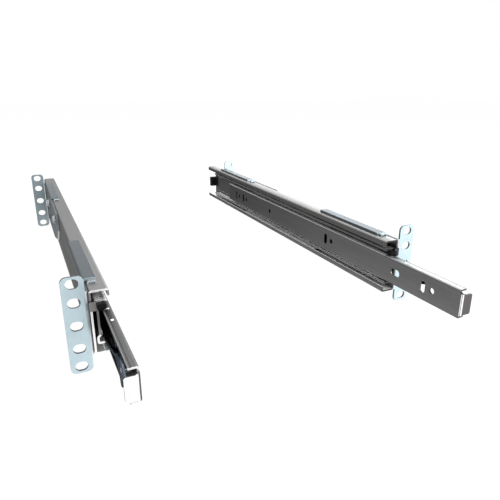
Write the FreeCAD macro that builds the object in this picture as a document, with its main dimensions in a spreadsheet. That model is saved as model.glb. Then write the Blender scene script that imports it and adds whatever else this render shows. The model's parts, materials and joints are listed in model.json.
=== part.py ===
import FreeCAD, Part
import math
import os
import Sketcher

# A pair of ball-bearing slide rails that carry a server in a rack.
# Origin midway between the rails, on the front flanges' face, at the rails' mid height.
# X runs across the rack, Y from front to rear, Z up. Lengths in millimetres.
# Each rail is drawn in its own directions: "in" from the outer member's outboard face
# towards the rack's centre, "along" rearward and "up".

doc = FreeCAD.newDocument("ServerRailPair")
sheet = doc.addObject("Spreadsheet::Sheet", "Sizes")

LEFT = -1
RIGHT = 1
SIDE_NAMES = {LEFT: "left", RIGHT: "right"}
FRONT = 1
REAR = -1


class Size:
    """A length that knows its value and its formula in the sheet's names."""

    def __init__(self, formula, value):
        self.formula = formula
        self.value = value

    def __add__(self, other):
        other = length_of(other)
        return Size(f"({self.formula} + {other.formula})", self.value + other.value)

    def __sub__(self, other):
        other = length_of(other)
        return Size(f"({self.formula} - {other.formula})", self.value - other.value)

    def __mul__(self, other):
        other = length_of(other)
        return Size(f"({self.formula} * {other.formula})", self.value * other.value)

    def __truediv__(self, other):
        other = length_of(other)
        return Size(f"({self.formula} / {other.formula})", self.value / other.value)

    def __neg__(self):
        return Size(f"(0 - {self.formula})", -self.value)

    def root(self):
        return Size(f"sqrt({self.formula})", math.sqrt(self.value))

    __radd__ = __add__
    __rmul__ = __mul__


def length_of(number):
    """A bare number as a Size, a Size as it is."""
    if isinstance(number, Size):
        return number
    return Size(f"({number:g})", float(number))


ZERO = length_of(0)
sheet_rows = []


def size(alias, value):
    """One driving dimension: a row of the sheet, with the alias that everything is bound to."""
    sheet_rows.append(alias)
    row = len(sheet_rows)
    sheet.set(f"A{row}", alias)
    sheet.set(f"B{row}", str(value))
    sheet.setAlias(f"B{row}", alias)
    return Size(f"Sizes.{alias}", value)


# The rack: hole columns, hole heights and the distance between front and rear flanges
column_spacing = size("column_spacing", 263.66)
flange_distance = size("flange_distance", 376.4)
hole_inner_rise = size("hole_inner_rise", 15.875)
hole_outer_rise = size("hole_outer_rise", 28.575)
slot_length = size("slot_length", 8.1)
slot_radius = size("slot_radius", 3.3)

# Brackets
bracket_sheet = size("bracket_sheet", 1.8)
bracket_bend = size("bracket_bend", 0.9)
flange_reach = size("flange_reach", 15.8)
flange_half = size("flange_half", 33.35)
flange_corner = size("flange_corner", 3.8)
saddle_reach = size("saddle_reach", 7.5)
saddle_bend = size("saddle_bend", 2.2)
front_saddle_start = size("front_saddle_start", 17.7)
rear_saddle_start = size("rear_saddle_start", 9.2)
front_saddle_length = size("front_saddle_length", 87.3)
rear_saddle_length = size("rear_saddle_length", 92.0)
saddle_skirt = size("saddle_skirt", 2.8)
front_leg_foot = size("front_leg_foot", 16.0)
front_leg_length = size("front_leg_length", 26.0)
rear_leg_length = size("rear_leg_length", 168.0)
rear_leg_tip = size("rear_leg_tip", 18.0)
rear_leg_slope = size("rear_leg_slope", 52.0)
rear_leg_knee_drop = size("rear_leg_knee_drop", 10.0)
rear_leg_tip_rise = size("rear_leg_tip_rise", 4.0)

# Rivets, screws and washers
rivet_radius = size("rivet_radius", 1.6)
rivet_head_radius = size("rivet_head_radius", 3.0)
rivet_head_height = size("rivet_head_height", 1.1)
rivet_head_edge = size("rivet_head_edge", 0.4)
flange_rivet_along = size("flange_rivet_along", 10.0)
flange_rivet_inset = size("flange_rivet_inset", 12.4)
screw_radius = size("screw_radius", 2.0)
screw_head_radius = size("screw_head_radius", 3.5)
screw_head_height = size("screw_head_height", 2.2)
screw_head_edge = size("screw_head_edge", 0.8)
screw_drive_radius = size("screw_drive_radius", 1.3)
screw_drive_depth = size("screw_drive_depth", 1.2)
screw_from_leg_end = size("screw_from_leg_end", 11.8)
screw_pitch = size("screw_pitch", 78.0)
screw_inset = size("screw_inset", 9.4)
washer_radius = size("washer_radius", 4.5)
washer_sheet = size("washer_sheet", 0.8)
washer_gap = size("washer_gap", 0.15)

# Outer member
column_offset = size("column_offset", 9.0)
rail_depth = size("rail_depth", 12.7)
rail_half = size("rail_half", 22.4)
rail_length = size("rail_length", 406.4)
outer_sheet = size("outer_sheet", 1.4)
outer_bend = size("outer_bend", 1.8)
outer_lip = size("outer_lip", 5.0)
fillet_inside = size("fillet_inside", 0.4)
lug_from_end = size("lug_from_end", 12.8)
lug_pitch = size("lug_pitch", 254.0)
lug_width = size("lug_width", 3.4)
lug_start = size("lug_start", 1.2)
lug_end = size("lug_end", 7.2)
lug_rise = size("lug_rise", 1.6)
lug_sheet = size("lug_sheet", 1.1)

# Intermediate member
middle_sheet = size("middle_sheet", 1.4)
outer_ball_gap = size("outer_ball_gap", 5.55)
middle_web = size("middle_web", 5.2)
middle_shoulder = size("middle_shoulder", 2.4)
middle_jog_drop = size("middle_jog_drop", 2.0)
middle_edge = size("middle_edge", 11.0)
middle_lip = size("middle_lip", 1.9)
middle_bend = size("middle_bend", 1.5)
middle_lip_bend = size("middle_lip_bend", 1.2)
closed_gap = size("closed_gap", 2.0)
stop_start = size("stop_start", -0.4)
stop_end = size("stop_end", 3.9)
stop_sheet = size("stop_sheet", 1.4)
stop_clearance = size("stop_clearance", 0.3)
stop_neck = size("stop_neck", 2.2)
stop_rise = size("stop_rise", 1.2)

# Inner member
inner_reach = size("inner_reach", 78.5)
inner_ball_gap = size("inner_ball_gap", 3.05)
inner_sheet = size("inner_sheet", 1.3)
inner_bend = size("inner_bend", 1.5)
inner_flange = size("inner_flange", 5.9)
neck_length = size("neck_length", 2.7)
neck_inset = size("neck_inset", 3.0)
lip_reach = size("lip_reach", 8.8)
lip_inset = size("lip_inset", 0.4)
lip_corner = size("lip_corner", 1.3)
lip_bend = size("lip_bend", 0.6)
round_hole_radius = size("round_hole_radius", 2.3)
upright_slot_height = size("upright_slot_height", 10.0)
upright_slot_radius = size("upright_slot_radius", 2.45)
front_pair_along = size("front_pair_along", 25.0)
middle_pair_along = size("middle_pair_along", 154.9)
centre_hole_along = size("centre_hole_along", 282.9)
rear_pair_along = size("rear_pair_along", 348.2)
last_pair_along = size("last_pair_along", 369.5)
pair_pitch = size("pair_pitch", 9.4)
access_hole_along = size("access_hole_along", 64.7)
access_hole_length = size("access_hole_length", 10.0)
access_hole_radius = size("access_hole_radius", 3.0)

# Balls and their cages
ball_play = size("ball_play", 0.31)
outer_ball_radius = size("outer_ball_radius", 2.75)
inner_ball_radius = size("inner_ball_radius", 1.5)
outer_ball_line = size("outer_ball_line", 7.6)
inner_ball_line = size("inner_ball_line", 7.9)
balls_per_row = size("balls_per_row", 5)
ball_pitch = size("ball_pitch", 36.0)
outer_cage_start = size("outer_cage_start", 110.0)
inner_cage_start = size("inner_cage_start", 85.0)
cage_end_land = size("cage_end_land", 12.0)
outer_cage_web = size("outer_cage_web", 0.4)
inner_cage_web = size("inner_cage_web", 0.5)
outer_cage_arm = size("outer_cage_arm", 1.0)
inner_cage_arm = size("inner_cage_arm", 0.8)
running_gap = size("running_gap", 0.3)
pocket_gap = size("pocket_gap", 0.12)

# Plastic guides and bumper
guide_depth = size("guide_depth", 12.0)
guide_nose = size("guide_nose", 4.5)
guide_lower_nose = size("guide_lower_nose", 0.6)
guide_nose_start = size("guide_nose_start", 4.2)
guide_nose_end = size("guide_nose_end", 9.7)
guide_peg_radius = size("guide_peg_radius", 1.0)
guide_peg_height = size("guide_peg_height", 1.0)
bumper_block = size("bumper_block", 6.1)
bumper_foot = size("bumper_foot", 12.3)
bumper_half = size("bumper_half", 6.7)
bumper_base = size("bumper_base", 2.2)
bumper_reach = size("bumper_reach", 11.1)
bumper_corner = size("bumper_corner", 0.8)

# Release lever, its pivot and its spring
lever_sheet = size("lever_sheet", 1.0)
pivot_along = size("pivot_along", 12.5)
pivot_rise = size("pivot_rise", 3.0)
pivot_radius = size("pivot_radius", 1.5)
pivot_gap = size("pivot_gap", 0.08)
pivot_shoulder_radius = size("pivot_shoulder_radius", 2.5)
arm_length = size("arm_length", 56.0)
arm_width = size("arm_width", 2.8)
tail_clearance = size("tail_clearance", 0.7)
arm_neck_along = size("arm_neck_along", 16.0)
arm_neck_rise = size("arm_neck_rise", 1.6)
head_back = size("head_back", 8.0)
head_front = size("head_front", 4.0)
head_clearance = size("head_clearance", 1.1)
head_bottom_drop = size("head_bottom_drop", 3.5)
nose_reach = size("nose_reach", 10.0)
nose_top = size("nose_top", 5.0)
nose_bottom = size("nose_bottom", 0.5)
trigger_clearance = size("trigger_clearance", 0.4)
trigger_front = size("trigger_front", 2.5)
trigger_width = size("trigger_width", 3.0)
tab_along = size("tab_along", 19.0)
tab_length = size("tab_length", 12.0)
tab_reach = size("tab_reach", 3.5)
spring_sheet = size("spring_sheet", 0.5)
spring_width = size("spring_width", 2.6)
spring_seat_length = size("spring_seat_length", 9.0)
spring_contact = size("spring_contact", 22.0)
spring_gap = size("spring_gap", 1.3)

# What follows from the driving dimensions
rail_face = column_spacing / 2 - column_offset
rear_face = flange_distance + bracket_sheet
inner_web_face = rail_depth - inner_sheet
inner_tip = rail_depth - inner_flange
outer_flange_face = rail_half - outer_sheet
middle_half = outer_flange_face - outer_ball_gap
middle_flange_face = middle_half - middle_sheet
inner_half = middle_flange_face - inner_ball_gap
inner_flange_face = inner_half - inner_sheet
middle_jog_rise = inner_half - middle_jog_drop
flange_rivet_rise = rail_half - flange_rivet_inset
screw_rise = rail_half - screw_inset
neck_half = inner_half - neck_inset
lip_half = neck_half - lip_inset
head_top = inner_flange_face - head_clearance
arm_tail_drop = inner_flange_face - tail_clearance
trigger_drop = inner_flange_face - trigger_clearance
outer_ball_rise = (outer_flange_face + middle_half) / 2
inner_ball_rise = (middle_flange_face + inner_half) / 2
middle_length = rail_length - bumper_block - bumper_foot - closed_gap
inner_front = -inner_reach
inner_length = rail_length - neck_length
lever_out = middle_web + running_gap
lever_in = lever_out + lever_sheet
bumper_rivet_along = rail_length - bumper_block - bumper_foot / 2
runner_out = inner_tip + running_gap
runner_in = middle_edge - middle_sheet - running_gap

checked_features = []


class Corner:
    """A corner of an outline: rounded by bend, or left by an arc about a centre."""

    def __init__(self, x, y, bend=None, arc=None):
        self.x = length_of(x)
        self.y = length_of(y)
        self.bend = bend
        self.arc = arc


def mirrored_below(half):
    """The outline of a section that is the same above and below mid height."""
    lower = []
    turned = list(reversed(half))
    for index, corner in enumerate(turned):
        arc = None
        if index + 1 < len(turned) and turned[index + 1].arc:
            centre_x, centre_y, radius = turned[index + 1].arc
            arc = (centre_x, -centre_y, radius)
        lower.append(Corner(corner.x, -corner.y, corner.bend, arc))
    return half + lower


def rectangle(x0, y0, x1, y1, bend=None):
    return [Corner(x0, y0, bend), Corner(x1, y0, bend), Corner(x1, y1, bend), Corner(x0, y1, bend)]


def step(start, end):
    """Which way the straight edge from one corner to the next runs, as whole steps."""
    across = end.x.value - start.x.value
    upward = end.y.value - start.y.value
    if min(abs(across), abs(upward)) > 1e-6:
        raise ValueError("a rounded corner needs edges along the axes")
    return (across > 1e-6) - (across < -1e-6), (upward > 1e-6) - (upward < -1e-6)


class Drawing:
    """A sketch on one of a piece's own planes, with every point bound to the sheet."""

    def __init__(self, sketch, flip):
        self.sketch = sketch
        self.flip = flip

    def limit(self, kind, length, *where):
        number = self.sketch.addConstraint(Sketcher.Constraint(kind, *where, length.value))
        self.sketch.setExpression(f"Constraints[{number}]", length.formula)

    def fix(self, geometry, point, x, y):
        self.limit("DistanceX", self.flip * x, -1, 1, geometry, point)
        self.limit("DistanceY", y, -1, 1, geometry, point)

    def spot(self, x, y):
        return FreeCAD.Vector(self.flip * x.value, y.value, 0)

    def circle(self, x, y, radius):
        x, y = length_of(x), length_of(y)
        shape = Part.Circle(self.spot(x, y), FreeCAD.Vector(0, 0, 1), radius.value)
        geometry = self.sketch.addGeometry(shape)
        self.fix(geometry, 3, x, y)
        self.limit("Radius", radius, geometry)

    def arc_between(self, start, end, centre, radius):
        """The shorter arc from start to end; tells which of its ends is the start."""
        first = math.atan2(start.y - centre.y, start.x - centre.x)
        last = math.atan2(end.y - centre.y, end.x - centre.x)
        sweep = (last - first + math.pi) % (2 * math.pi) - math.pi
        if sweep < 0:
            first, last = last, first
        if last < first:
            last += 2 * math.pi
        circle = Part.Circle(centre, FreeCAD.Vector(0, 0, 1), radius.value)
        geometry = self.sketch.addGeometry(Part.ArcOfCircle(circle, first, last))
        self.limit("Radius", radius, geometry)
        return (geometry, 1, 2) if sweep > 0 else (geometry, 2, 1)

    def outline(self, corners):
        points = []
        arcs = []
        for index, here in enumerate(corners):
            if here.bend is None:
                points.append((here.x, here.y))
                arcs.append(here.arc)
                continue
            back = step(here, corners[index - 1])
            ahead = step(here, corners[(index + 1) % len(corners)])
            points.append((here.x + back[0] * here.bend, here.y + back[1] * here.bend))
            centre_x = here.x + (back[0] + ahead[0]) * here.bend
            centre_y = here.y + (back[1] + ahead[1]) * here.bend
            arcs.append((centre_x, centre_y, here.bend))
            points.append((here.x + ahead[0] * here.bend, here.y + ahead[1] * here.bend))
            arcs.append(here.arc)
        edges = []
        for index, (x, y) in enumerate(points):
            start = self.spot(x, y)
            end = self.spot(*points[(index + 1) % len(points)])
            if arcs[index] is None:
                edges.append((self.sketch.addGeometry(Part.LineSegment(start, end)), 1, 2))
            else:
                centre_x, centre_y, radius = arcs[index]
                edges.append(self.arc_between(start, end, self.spot(centre_x, centre_y), radius))
        for index, (geometry, start, end) in enumerate(edges):
            follower = edges[(index + 1) % len(edges)]
            self.sketch.addConstraint(
                Sketcher.Constraint("Coincident", geometry, end, follower[0], follower[1]))
            self.fix(geometry, start, *points[index])

    def slot(self, x, y, length, radius, upright=False):
        """A slot with round ends, its length measured from end to end."""
        x, y = length_of(x), length_of(y)
        half = length / 2 - radius
        ends = [(x, y - half), (x, y + half)] if upright else [(x - half, y), (x + half, y)]
        if not upright and self.flip < 0:
            ends.reverse()
        turn = math.pi / 2 if upright else 0
        arcs = []
        for number, (end_x, end_y) in enumerate(ends):
            first = turn + math.pi / 2 + number * math.pi
            circle = Part.Circle(self.spot(end_x, end_y), FreeCAD.Vector(0, 0, 1), radius.value)
            arcs.append(self.sketch.addGeometry(Part.ArcOfCircle(circle, first, first + math.pi)))
            self.fix(arcs[-1], 3, end_x, end_y)
        shapes = [self.sketch.Geometry[arc] for arc in arcs]
        upper = self.sketch.addGeometry(
            Part.LineSegment(shapes[0].StartPoint, shapes[1].EndPoint))
        lower = self.sketch.addGeometry(
            Part.LineSegment(shapes[0].EndPoint, shapes[1].StartPoint))
        for arc, arc_end, line, line_end in ((arcs[0], 1, upper, 1), (arcs[1], 2, upper, 2),
                                             (arcs[0], 2, lower, 1), (arcs[1], 1, lower, 2)):
            self.sketch.addConstraint(Sketcher.Constraint("Tangent", arc, arc_end, line, line_end))
        self.sketch.addConstraint(Sketcher.Constraint("Equal", arcs[0], arcs[1]))
        self.limit("Radius", radius, arcs[0])


class Piece:
    """One separate piece of a rail, drawn inboard, along and up from its own origin."""

    def __init__(self, name, side, along=ZERO, run=FRONT):
        label = f"{SIDE_NAMES[side]}_{name}"
        self.body = doc.addObject("PartDesign::Body", label)
        self.body.Label = label
        self.side = side
        self.run = run
        self.body.setExpression("Placement.Base.x", (side * rail_face).formula)
        self.body.setExpression("Placement.Base.y", length_of(along).formula)
        pieces.append(self.body)

    def origin(self, role):
        return next(item for item in self.body.Origin.OriginFeatures if item.Role == role)

    def feature(self, kind, name, plane, start, reach, backwards, draw, flip):
        """A pad or pocket of what draw puts in a sketch, from start over reach."""
        base = self.body.Tip
        sketch = self.body.newObject("Sketcher::SketchObject", name + "Sketch")
        sketch.AttachmentSupport = [(self.origin(plane), "")]
        sketch.MapMode = "FlatFace"
        sketch.setExpression("AttachmentOffset.Base.z", start.formula)
        draw(Drawing(sketch, flip))
        solid = self.body.newObject("PartDesign::" + kind, name)
        solid.Profile = sketch
        solid.Reversed = backwards
        solid.setExpression("Length", reach.formula)
        checked_features.append((solid, base, kind))
        return solid

    def section(self, kind, name, start, reach, draw):
        """An outline across the rail (inboard, up), carried along it."""
        start = length_of(start)
        offset = -start if self.run == FRONT else start
        backwards = (kind == "Pad") == (self.run == FRONT)
        return self.feature(kind, name, "XZ_Plane", offset, length_of(reach), backwards, draw,
                            -self.side)

    def plate(self, kind, name, start, reach, draw):
        """An outline seen from the side (along, up), carried inboard."""
        start = length_of(start)
        backwards = (kind == "Pad") == (self.side == RIGHT)
        return self.feature(kind, name, "YZ_Plane", -self.side * start, length_of(reach),
                            backwards, draw, self.run)

    def layer(self, kind, name, start, reach, draw):
        """An outline seen from above (inboard, along): a pad goes up from it, a pocket down."""
        return self.feature(kind, name, "XY_Plane", length_of(start), length_of(reach), False,
                            draw, -self.side)

    def repeat(self, original, axis, span, count, backwards=False):
        row = self.body.newObject("PartDesign::LinearPattern", original.Name + "Row")
        row.Originals = [original]
        row.Direction = (self.origin(axis), [""])
        row.Reversed = backwards
        row.setExpression("Length", length_of(span).formula)
        row.setExpression("Occurrences", length_of(count).formula)
        checked_features.append((row, original, original.TypeId.split("::")[1]))
        self.body.Tip = row
        return row

    def mirror_down(self, original):
        lower = self.body.newObject("PartDesign::Mirrored", original.Name + "Below")
        lower.Originals = [original]
        lower.MirrorPlane = (self.origin("XY_Plane"), [""])
        checked_features.append((lower, original, original.TypeId.split("::")[1]))
        self.body.Tip = lower
        return lower


pieces = []


def half_chord(radius, distance):
    """Half the width of a ball track where it meets a flat face."""
    return (radius * radius - distance * distance).root()


def outer_section(drawing):
    """C of bent sheet, with a ball track under each flange and a lip that keeps the balls in."""
    lip_face = rail_depth - outer_sheet
    track = outer_ball_radius + ball_play
    chord = half_chord(track, outer_flange_face - outer_ball_rise)
    drawing.outline(mirrored_below([
        Corner(ZERO, rail_half, outer_bend),
        Corner(rail_depth, rail_half, outer_bend),
        Corner(rail_depth, rail_half - outer_lip, fillet_inside),
        Corner(lip_face, rail_half - outer_lip, fillet_inside),
        Corner(lip_face, outer_flange_face, fillet_inside),
        Corner(outer_ball_line + chord, outer_flange_face,
               arc=(outer_ball_line, outer_ball_rise, track)),
        Corner(outer_ball_line - chord, outer_flange_face),
        Corner(outer_sheet, outer_flange_face, fillet_inside)]))


def outer_member(side):
    piece = Piece("outer_member", side)
    piece.section("Pad", "Channel", ZERO, rail_length, outer_section)
    window = piece.layer(
        "Pocket", "LugWindow", rail_half + lug_rise, outer_sheet + lug_rise,
        lambda d: d.outline(rectangle(lug_start + lug_sheet, lug_from_end,
                                      lug_end - lug_sheet, lug_from_end + lug_width)))
    piece.repeat(window, "Y_Axis", lug_pitch, 2)
    lug = piece.section(
        "Pad", "Lug", lug_from_end, lug_width,
        lambda d: d.outline([
            Corner(lug_start, rail_half - outer_sheet / 2),
            Corner(lug_start, rail_half + lug_rise, lug_sheet),
            Corner(lug_end, rail_half + lug_rise, lug_sheet),
            Corner(lug_end, rail_half - outer_sheet / 2),
            Corner(lug_end - lug_sheet, rail_half - outer_sheet / 2),
            Corner(lug_end - lug_sheet, rail_half + lug_rise - lug_sheet),
            Corner(lug_start + lug_sheet, rail_half + lug_rise - lug_sheet),
            Corner(lug_start + lug_sheet, rail_half - outer_sheet / 2)]))
    piece.repeat(lug, "Y_Axis", lug_pitch, 2)

    def rivet_holes(drawing):
        for along, rise in front_rivet_spots():
            drawing.circle(along, rise, rivet_radius)
        drawing.circle(bumper_rivet_along, ZERO, rivet_radius)
    piece.plate("Pocket", "RivetHoles", ZERO, outer_sheet, rivet_holes)

    def screw_holes(drawing):
        for from_flange in screw_spots():
            drawing.circle(rear_face - from_flange, screw_rise, screw_radius)
    piece.plate("Pocket", "ScrewHoles", ZERO, outer_sheet, screw_holes)
    return piece


def front_rivet_spots():
    """The front bracket's rivets, along and up from the flange."""
    return [(flange_rivet_along, -flange_rivet_rise), (flange_rivet_along, flange_rivet_rise)]


def screw_spots():
    """The rear bracket's screws, measured forward from its flange's rear face."""
    far = rear_leg_length - screw_from_leg_end
    return [far - screw_pitch, far]


def bracket(name, side, run, leg_outline, saddle_start, saddle_length, leg_holes):
    """Leg on the rail's outboard face, bent flange with the rack's slots, and a saddle over
    the rail's top. Drawn from the flange's mounting face towards the rail's middle."""
    piece = Piece(name, side, ZERO if run == FRONT else rear_face, run)
    leg_out = -bracket_sheet
    bend_out = -bracket_sheet - bracket_bend
    piece.plate("Pad", "Leg", leg_out, bracket_sheet, lambda d: d.outline(leg_outline))
    piece.layer("Pad", "Bend", -rail_half, rail_half * 2, lambda d: d.outline([
        Corner(bend_out, ZERO, arc=(bend_out, -run * bend_out, -bend_out)),
        Corner(ZERO, -run * bend_out),
        Corner(leg_out, -run * bend_out, arc=(bend_out, -run * bend_out, bracket_bend)),
        Corner(bend_out, run * bracket_sheet)]))
    piece.section("Pad", "Flange", ZERO, bracket_sheet, lambda d: d.outline(mirrored_below([
        Corner(bend_out, rail_half),
        Corner(leg_out, rail_half),
        Corner(leg_out, flange_half, flange_corner),
        Corner(-flange_reach, flange_half, flange_corner)])))
    top = rail_half + bracket_sheet
    piece.section("Pad", "Saddle", saddle_start, saddle_length, lambda d: d.outline([
        Corner(leg_out, rail_half - saddle_skirt),
        Corner(leg_out, top, saddle_bend),
        Corner(saddle_reach, top),
        Corner(saddle_reach, rail_half),
        Corner(ZERO, rail_half),
        Corner(ZERO, rail_half - saddle_skirt)]))

    def slots(drawing):
        for rise in (-hole_outer_rise, -hole_inner_rise, ZERO, hole_inner_rise, hole_outer_rise):
            drawing.slot(-column_offset, rise, slot_length, slot_radius)
    piece.section("Pocket", "Slots", ZERO, bracket_sheet, slots)
    piece.plate("Pocket", "LegHoles", leg_out, bracket_sheet, leg_holes)
    return piece


def front_bracket(side):
    def rivet_holes(drawing):
        for along, rise in front_rivet_spots():
            drawing.circle(along, rise, rivet_radius)
    leg_start = bracket_sheet + bracket_bend
    leg_outline = [
        Corner(leg_start, -rail_half),
        Corner(front_leg_foot, -rail_half),
        Corner(front_leg_length, rail_half - saddle_skirt),
        Corner(front_leg_length, rail_half),
        Corner(leg_start, rail_half)]
    return bracket("front_bracket", side, FRONT, leg_outline, front_saddle_start,
                   front_saddle_length, rivet_holes)


def rear_bracket(side):
    def screw_holes(drawing):
        for from_flange in screw_spots():
            drawing.circle(from_flange, screw_rise, screw_radius)
    leg_start = bracket_sheet + bracket_bend
    knee = rear_leg_length - rear_leg_tip
    leg_outline = [
        Corner(leg_start, -rail_half),
        Corner(knee - rear_leg_slope, -rail_half),
        Corner(knee, -rear_leg_knee_drop),
        Corner(rear_leg_length, rear_leg_tip_rise),
        Corner(rear_leg_length, rail_half),
        Corner(leg_start, rail_half)]
    return bracket("rear_bracket", side, REAR, leg_outline, rear_saddle_start,
                   rear_saddle_length, screw_holes)


def turned(piece, name, along, rise, half_outline):
    """A round piece turned about a line across the rail; its half outline gives how far
    inboard and how far from that line each corner is."""
    sketch = piece.body.newObject("Sketcher::SketchObject", name + "Sketch")
    sketch.AttachmentSupport = [(piece.origin("XZ_Plane"), "")]
    sketch.MapMode = "FlatFace"
    sketch.setExpression("AttachmentOffset.Base.z", (-length_of(along)).formula)
    drawing = Drawing(sketch, -piece.side)
    drawing.outline([Corner(inboard, rise + away) for inboard, away in half_outline])
    axis = sketch.addGeometry(
        Part.LineSegment(drawing.spot(ZERO, rise), drawing.spot(rail_depth, rise)), True)
    drawing.fix(axis, 1, ZERO, rise)
    drawing.fix(axis, 2, rail_depth, rise)
    base = piece.body.Tip
    solid = piece.body.newObject("PartDesign::Revolution", name)
    solid.Profile = sketch
    solid.ReferenceAxis = (sketch, ["Axis0"])
    solid.Angle = 360
    checked_features.append((solid, base, "Pad"))
    return solid


def front_rivets(side):
    """Low-headed rivets through the bracket's leg and the outer member's web."""
    piece = Piece("front_bracket_rivets", side)
    head = -bracket_sheet - rivet_head_height
    half_outline = [
        (head, ZERO),
        (head, rivet_head_radius - rivet_head_height),
        (-bracket_sheet - rivet_head_edge, rivet_head_radius),
        (-bracket_sheet, rivet_head_radius),
        (-bracket_sheet, rivet_radius),
        (outer_sheet, rivet_radius),
        (outer_sheet, ZERO)]
    for number, (along, rise) in enumerate(front_rivet_spots()):
        turned(piece, f"Rivet{number}", along, rise, half_outline)
    return piece


def rear_screws(side):
    """Pan-head screws with a round drive recess, one thread length through the web."""
    piece = Piece("rear_bracket_screws", side)
    seat = -bracket_sheet - washer_sheet
    head = seat - screw_head_height
    half_outline = [
        (head + screw_drive_depth, ZERO),
        (head + screw_drive_depth, screw_drive_radius),
        (head, screw_drive_radius),
        (head, screw_head_radius - screw_head_edge),
        (head + screw_head_edge, screw_head_radius),
        (seat, screw_head_radius),
        (seat, screw_radius),
        (outer_sheet, screw_radius),
        (outer_sheet, ZERO)]
    first = turned(piece, "Screw", rear_face - screw_spots()[0], screw_rise, half_outline)
    piece.repeat(first, "Y_Axis", screw_pitch, 2, backwards=True)
    return piece


def rear_washers(side):
    piece = Piece("rear_bracket_washers", side)
    half_outline = [
        (-bracket_sheet - washer_sheet, screw_radius + washer_gap),
        (-bracket_sheet - washer_sheet, washer_radius),
        (-bracket_sheet, washer_radius),
        (-bracket_sheet, screw_radius + washer_gap)]
    first = turned(piece, "Washer", rear_face - screw_spots()[0], screw_rise, half_outline)
    piece.repeat(first, "Y_Axis", screw_pitch, 2, backwards=True)
    return piece


def middle_section(drawing):
    """Web set in from the outer member, jogged out to a shoulder at each edge, then a flange
    with a ball track on each face and a lip that keeps the inner balls in."""
    web_out = middle_web - middle_sheet
    jog = web_out - middle_shoulder
    slope = middle_sheet * (math.sqrt(2) - 1)
    outer_track = outer_ball_radius + ball_play
    outer_chord = half_chord(outer_track, outer_ball_rise - middle_half)
    inner_track = inner_ball_radius + ball_play
    inner_chord = half_chord(inner_track, middle_flange_face - inner_ball_rise)
    drawing.outline(mirrored_below([
        Corner(web_out, middle_jog_rise),
        Corner(middle_shoulder, middle_jog_rise + jog),
        Corner(middle_shoulder, middle_half, middle_bend),
        Corner(outer_ball_line - outer_chord, middle_half,
               arc=(outer_ball_line, outer_ball_rise, outer_track)),
        Corner(outer_ball_line + outer_chord, middle_half),
        Corner(middle_edge, middle_half, middle_lip_bend),
        Corner(middle_edge, middle_half - middle_lip),
        Corner(middle_edge - middle_sheet, middle_half - middle_lip),
        Corner(middle_edge - middle_sheet, middle_flange_face, fillet_inside / 2),
        Corner(inner_ball_line + inner_chord, middle_flange_face,
               arc=(inner_ball_line, inner_ball_rise, inner_track)),
        Corner(inner_ball_line - inner_chord, middle_flange_face),
        Corner(middle_shoulder + middle_sheet, middle_flange_face, middle_bend / 2),
        Corner(middle_shoulder + middle_sheet, middle_jog_rise + jog + slope),
        Corner(middle_web, middle_jog_rise + slope)]))


def middle_member(side):
    """The jogged channel, with a stop tab at its front upper corner that reaches across in
    front of the outer member's web."""
    piece = Piece("intermediate_member", side)
    piece.section("Pad", "Channel", ZERO, middle_length, middle_section)
    piece.section("Pad", "StopNeck", -stop_clearance, stop_clearance, lambda d: d.outline(rectangle(
        middle_shoulder, middle_flange_face - stop_neck, middle_shoulder + middle_sheet,
        middle_flange_face)))
    piece.section("Pad", "Stop", -stop_clearance - stop_sheet, stop_sheet,
                  lambda d: d.outline(rectangle(stop_start, middle_jog_rise, stop_end,
                                                middle_flange_face + stop_rise)))
    holes = piece.layer("Pocket", "GuidePegHoles", middle_half, middle_sheet,
                        lambda d: d.circle((runner_out + runner_in) / 2, guide_depth / 2,
                                           guide_peg_radius))
    piece.mirror_down(holes)
    return piece


def inner_section(drawing):
    """Shallow C with its web towards the server and a ball track on each flange."""
    track = inner_ball_radius + ball_play
    chord = half_chord(track, inner_ball_rise - inner_half)
    drawing.outline(mirrored_below([
        Corner(rail_depth, inner_half, inner_bend),
        Corner(inner_ball_line + chord, inner_half,
               arc=(inner_ball_line, inner_ball_rise, track)),
        Corner(inner_ball_line - chord, inner_half),
        Corner(inner_tip, inner_half),
        Corner(inner_tip, inner_flange_face),
        Corner(inner_web_face, inner_flange_face, fillet_inside)]))


def inner_member(side):
    piece = Piece("inner_member", side, inner_front)
    piece.section("Pad", "Channel", ZERO, inner_length, inner_section)
    neck_front = -neck_length
    piece.layer("Pad", "Neck", -neck_half, neck_half * 2, lambda d: d.outline([
        Corner(rail_depth, lip_bend),
        Corner(rail_depth, neck_front, inner_sheet + lip_bend),
        Corner(rail_depth - inner_sheet - lip_bend * 2, neck_front),
        Corner(rail_depth - inner_sheet - lip_bend * 2, neck_front + inner_sheet),
        Corner(inner_web_face, neck_front + inner_sheet, lip_bend),
        Corner(inner_web_face, lip_bend)]))
    piece.section("Pad", "Lip", neck_front, inner_sheet, lambda d: d.outline([
        Corner(rail_depth - inner_sheet - lip_bend, -lip_half),
        Corner(rail_depth - lip_reach, -lip_half, lip_corner),
        Corner(rail_depth - lip_reach, lip_half, lip_corner),
        Corner(rail_depth - inner_sheet - lip_bend, lip_half)]))

    def fixing_holes(drawing):
        drawing.circle(front_pair_along, ZERO, round_hole_radius)
        drawing.circle(middle_pair_along, ZERO, round_hole_radius)
        drawing.circle(centre_hole_along, ZERO, round_hole_radius)
        drawing.circle(rear_pair_along, ZERO, round_hole_radius)
        drawing.circle(last_pair_along, ZERO, round_hole_radius)
        drawing.slot(access_hole_along, ZERO, access_hole_length, access_hole_radius)
        for along in (front_pair_along, middle_pair_along, rear_pair_along, last_pair_along):
            drawing.slot(along + pair_pitch, ZERO, upright_slot_height, upright_slot_radius,
                         upright=True)
    piece.plate("Pocket", "FixingHoles", inner_web_face, inner_sheet, fixing_holes)
    return piece


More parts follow.
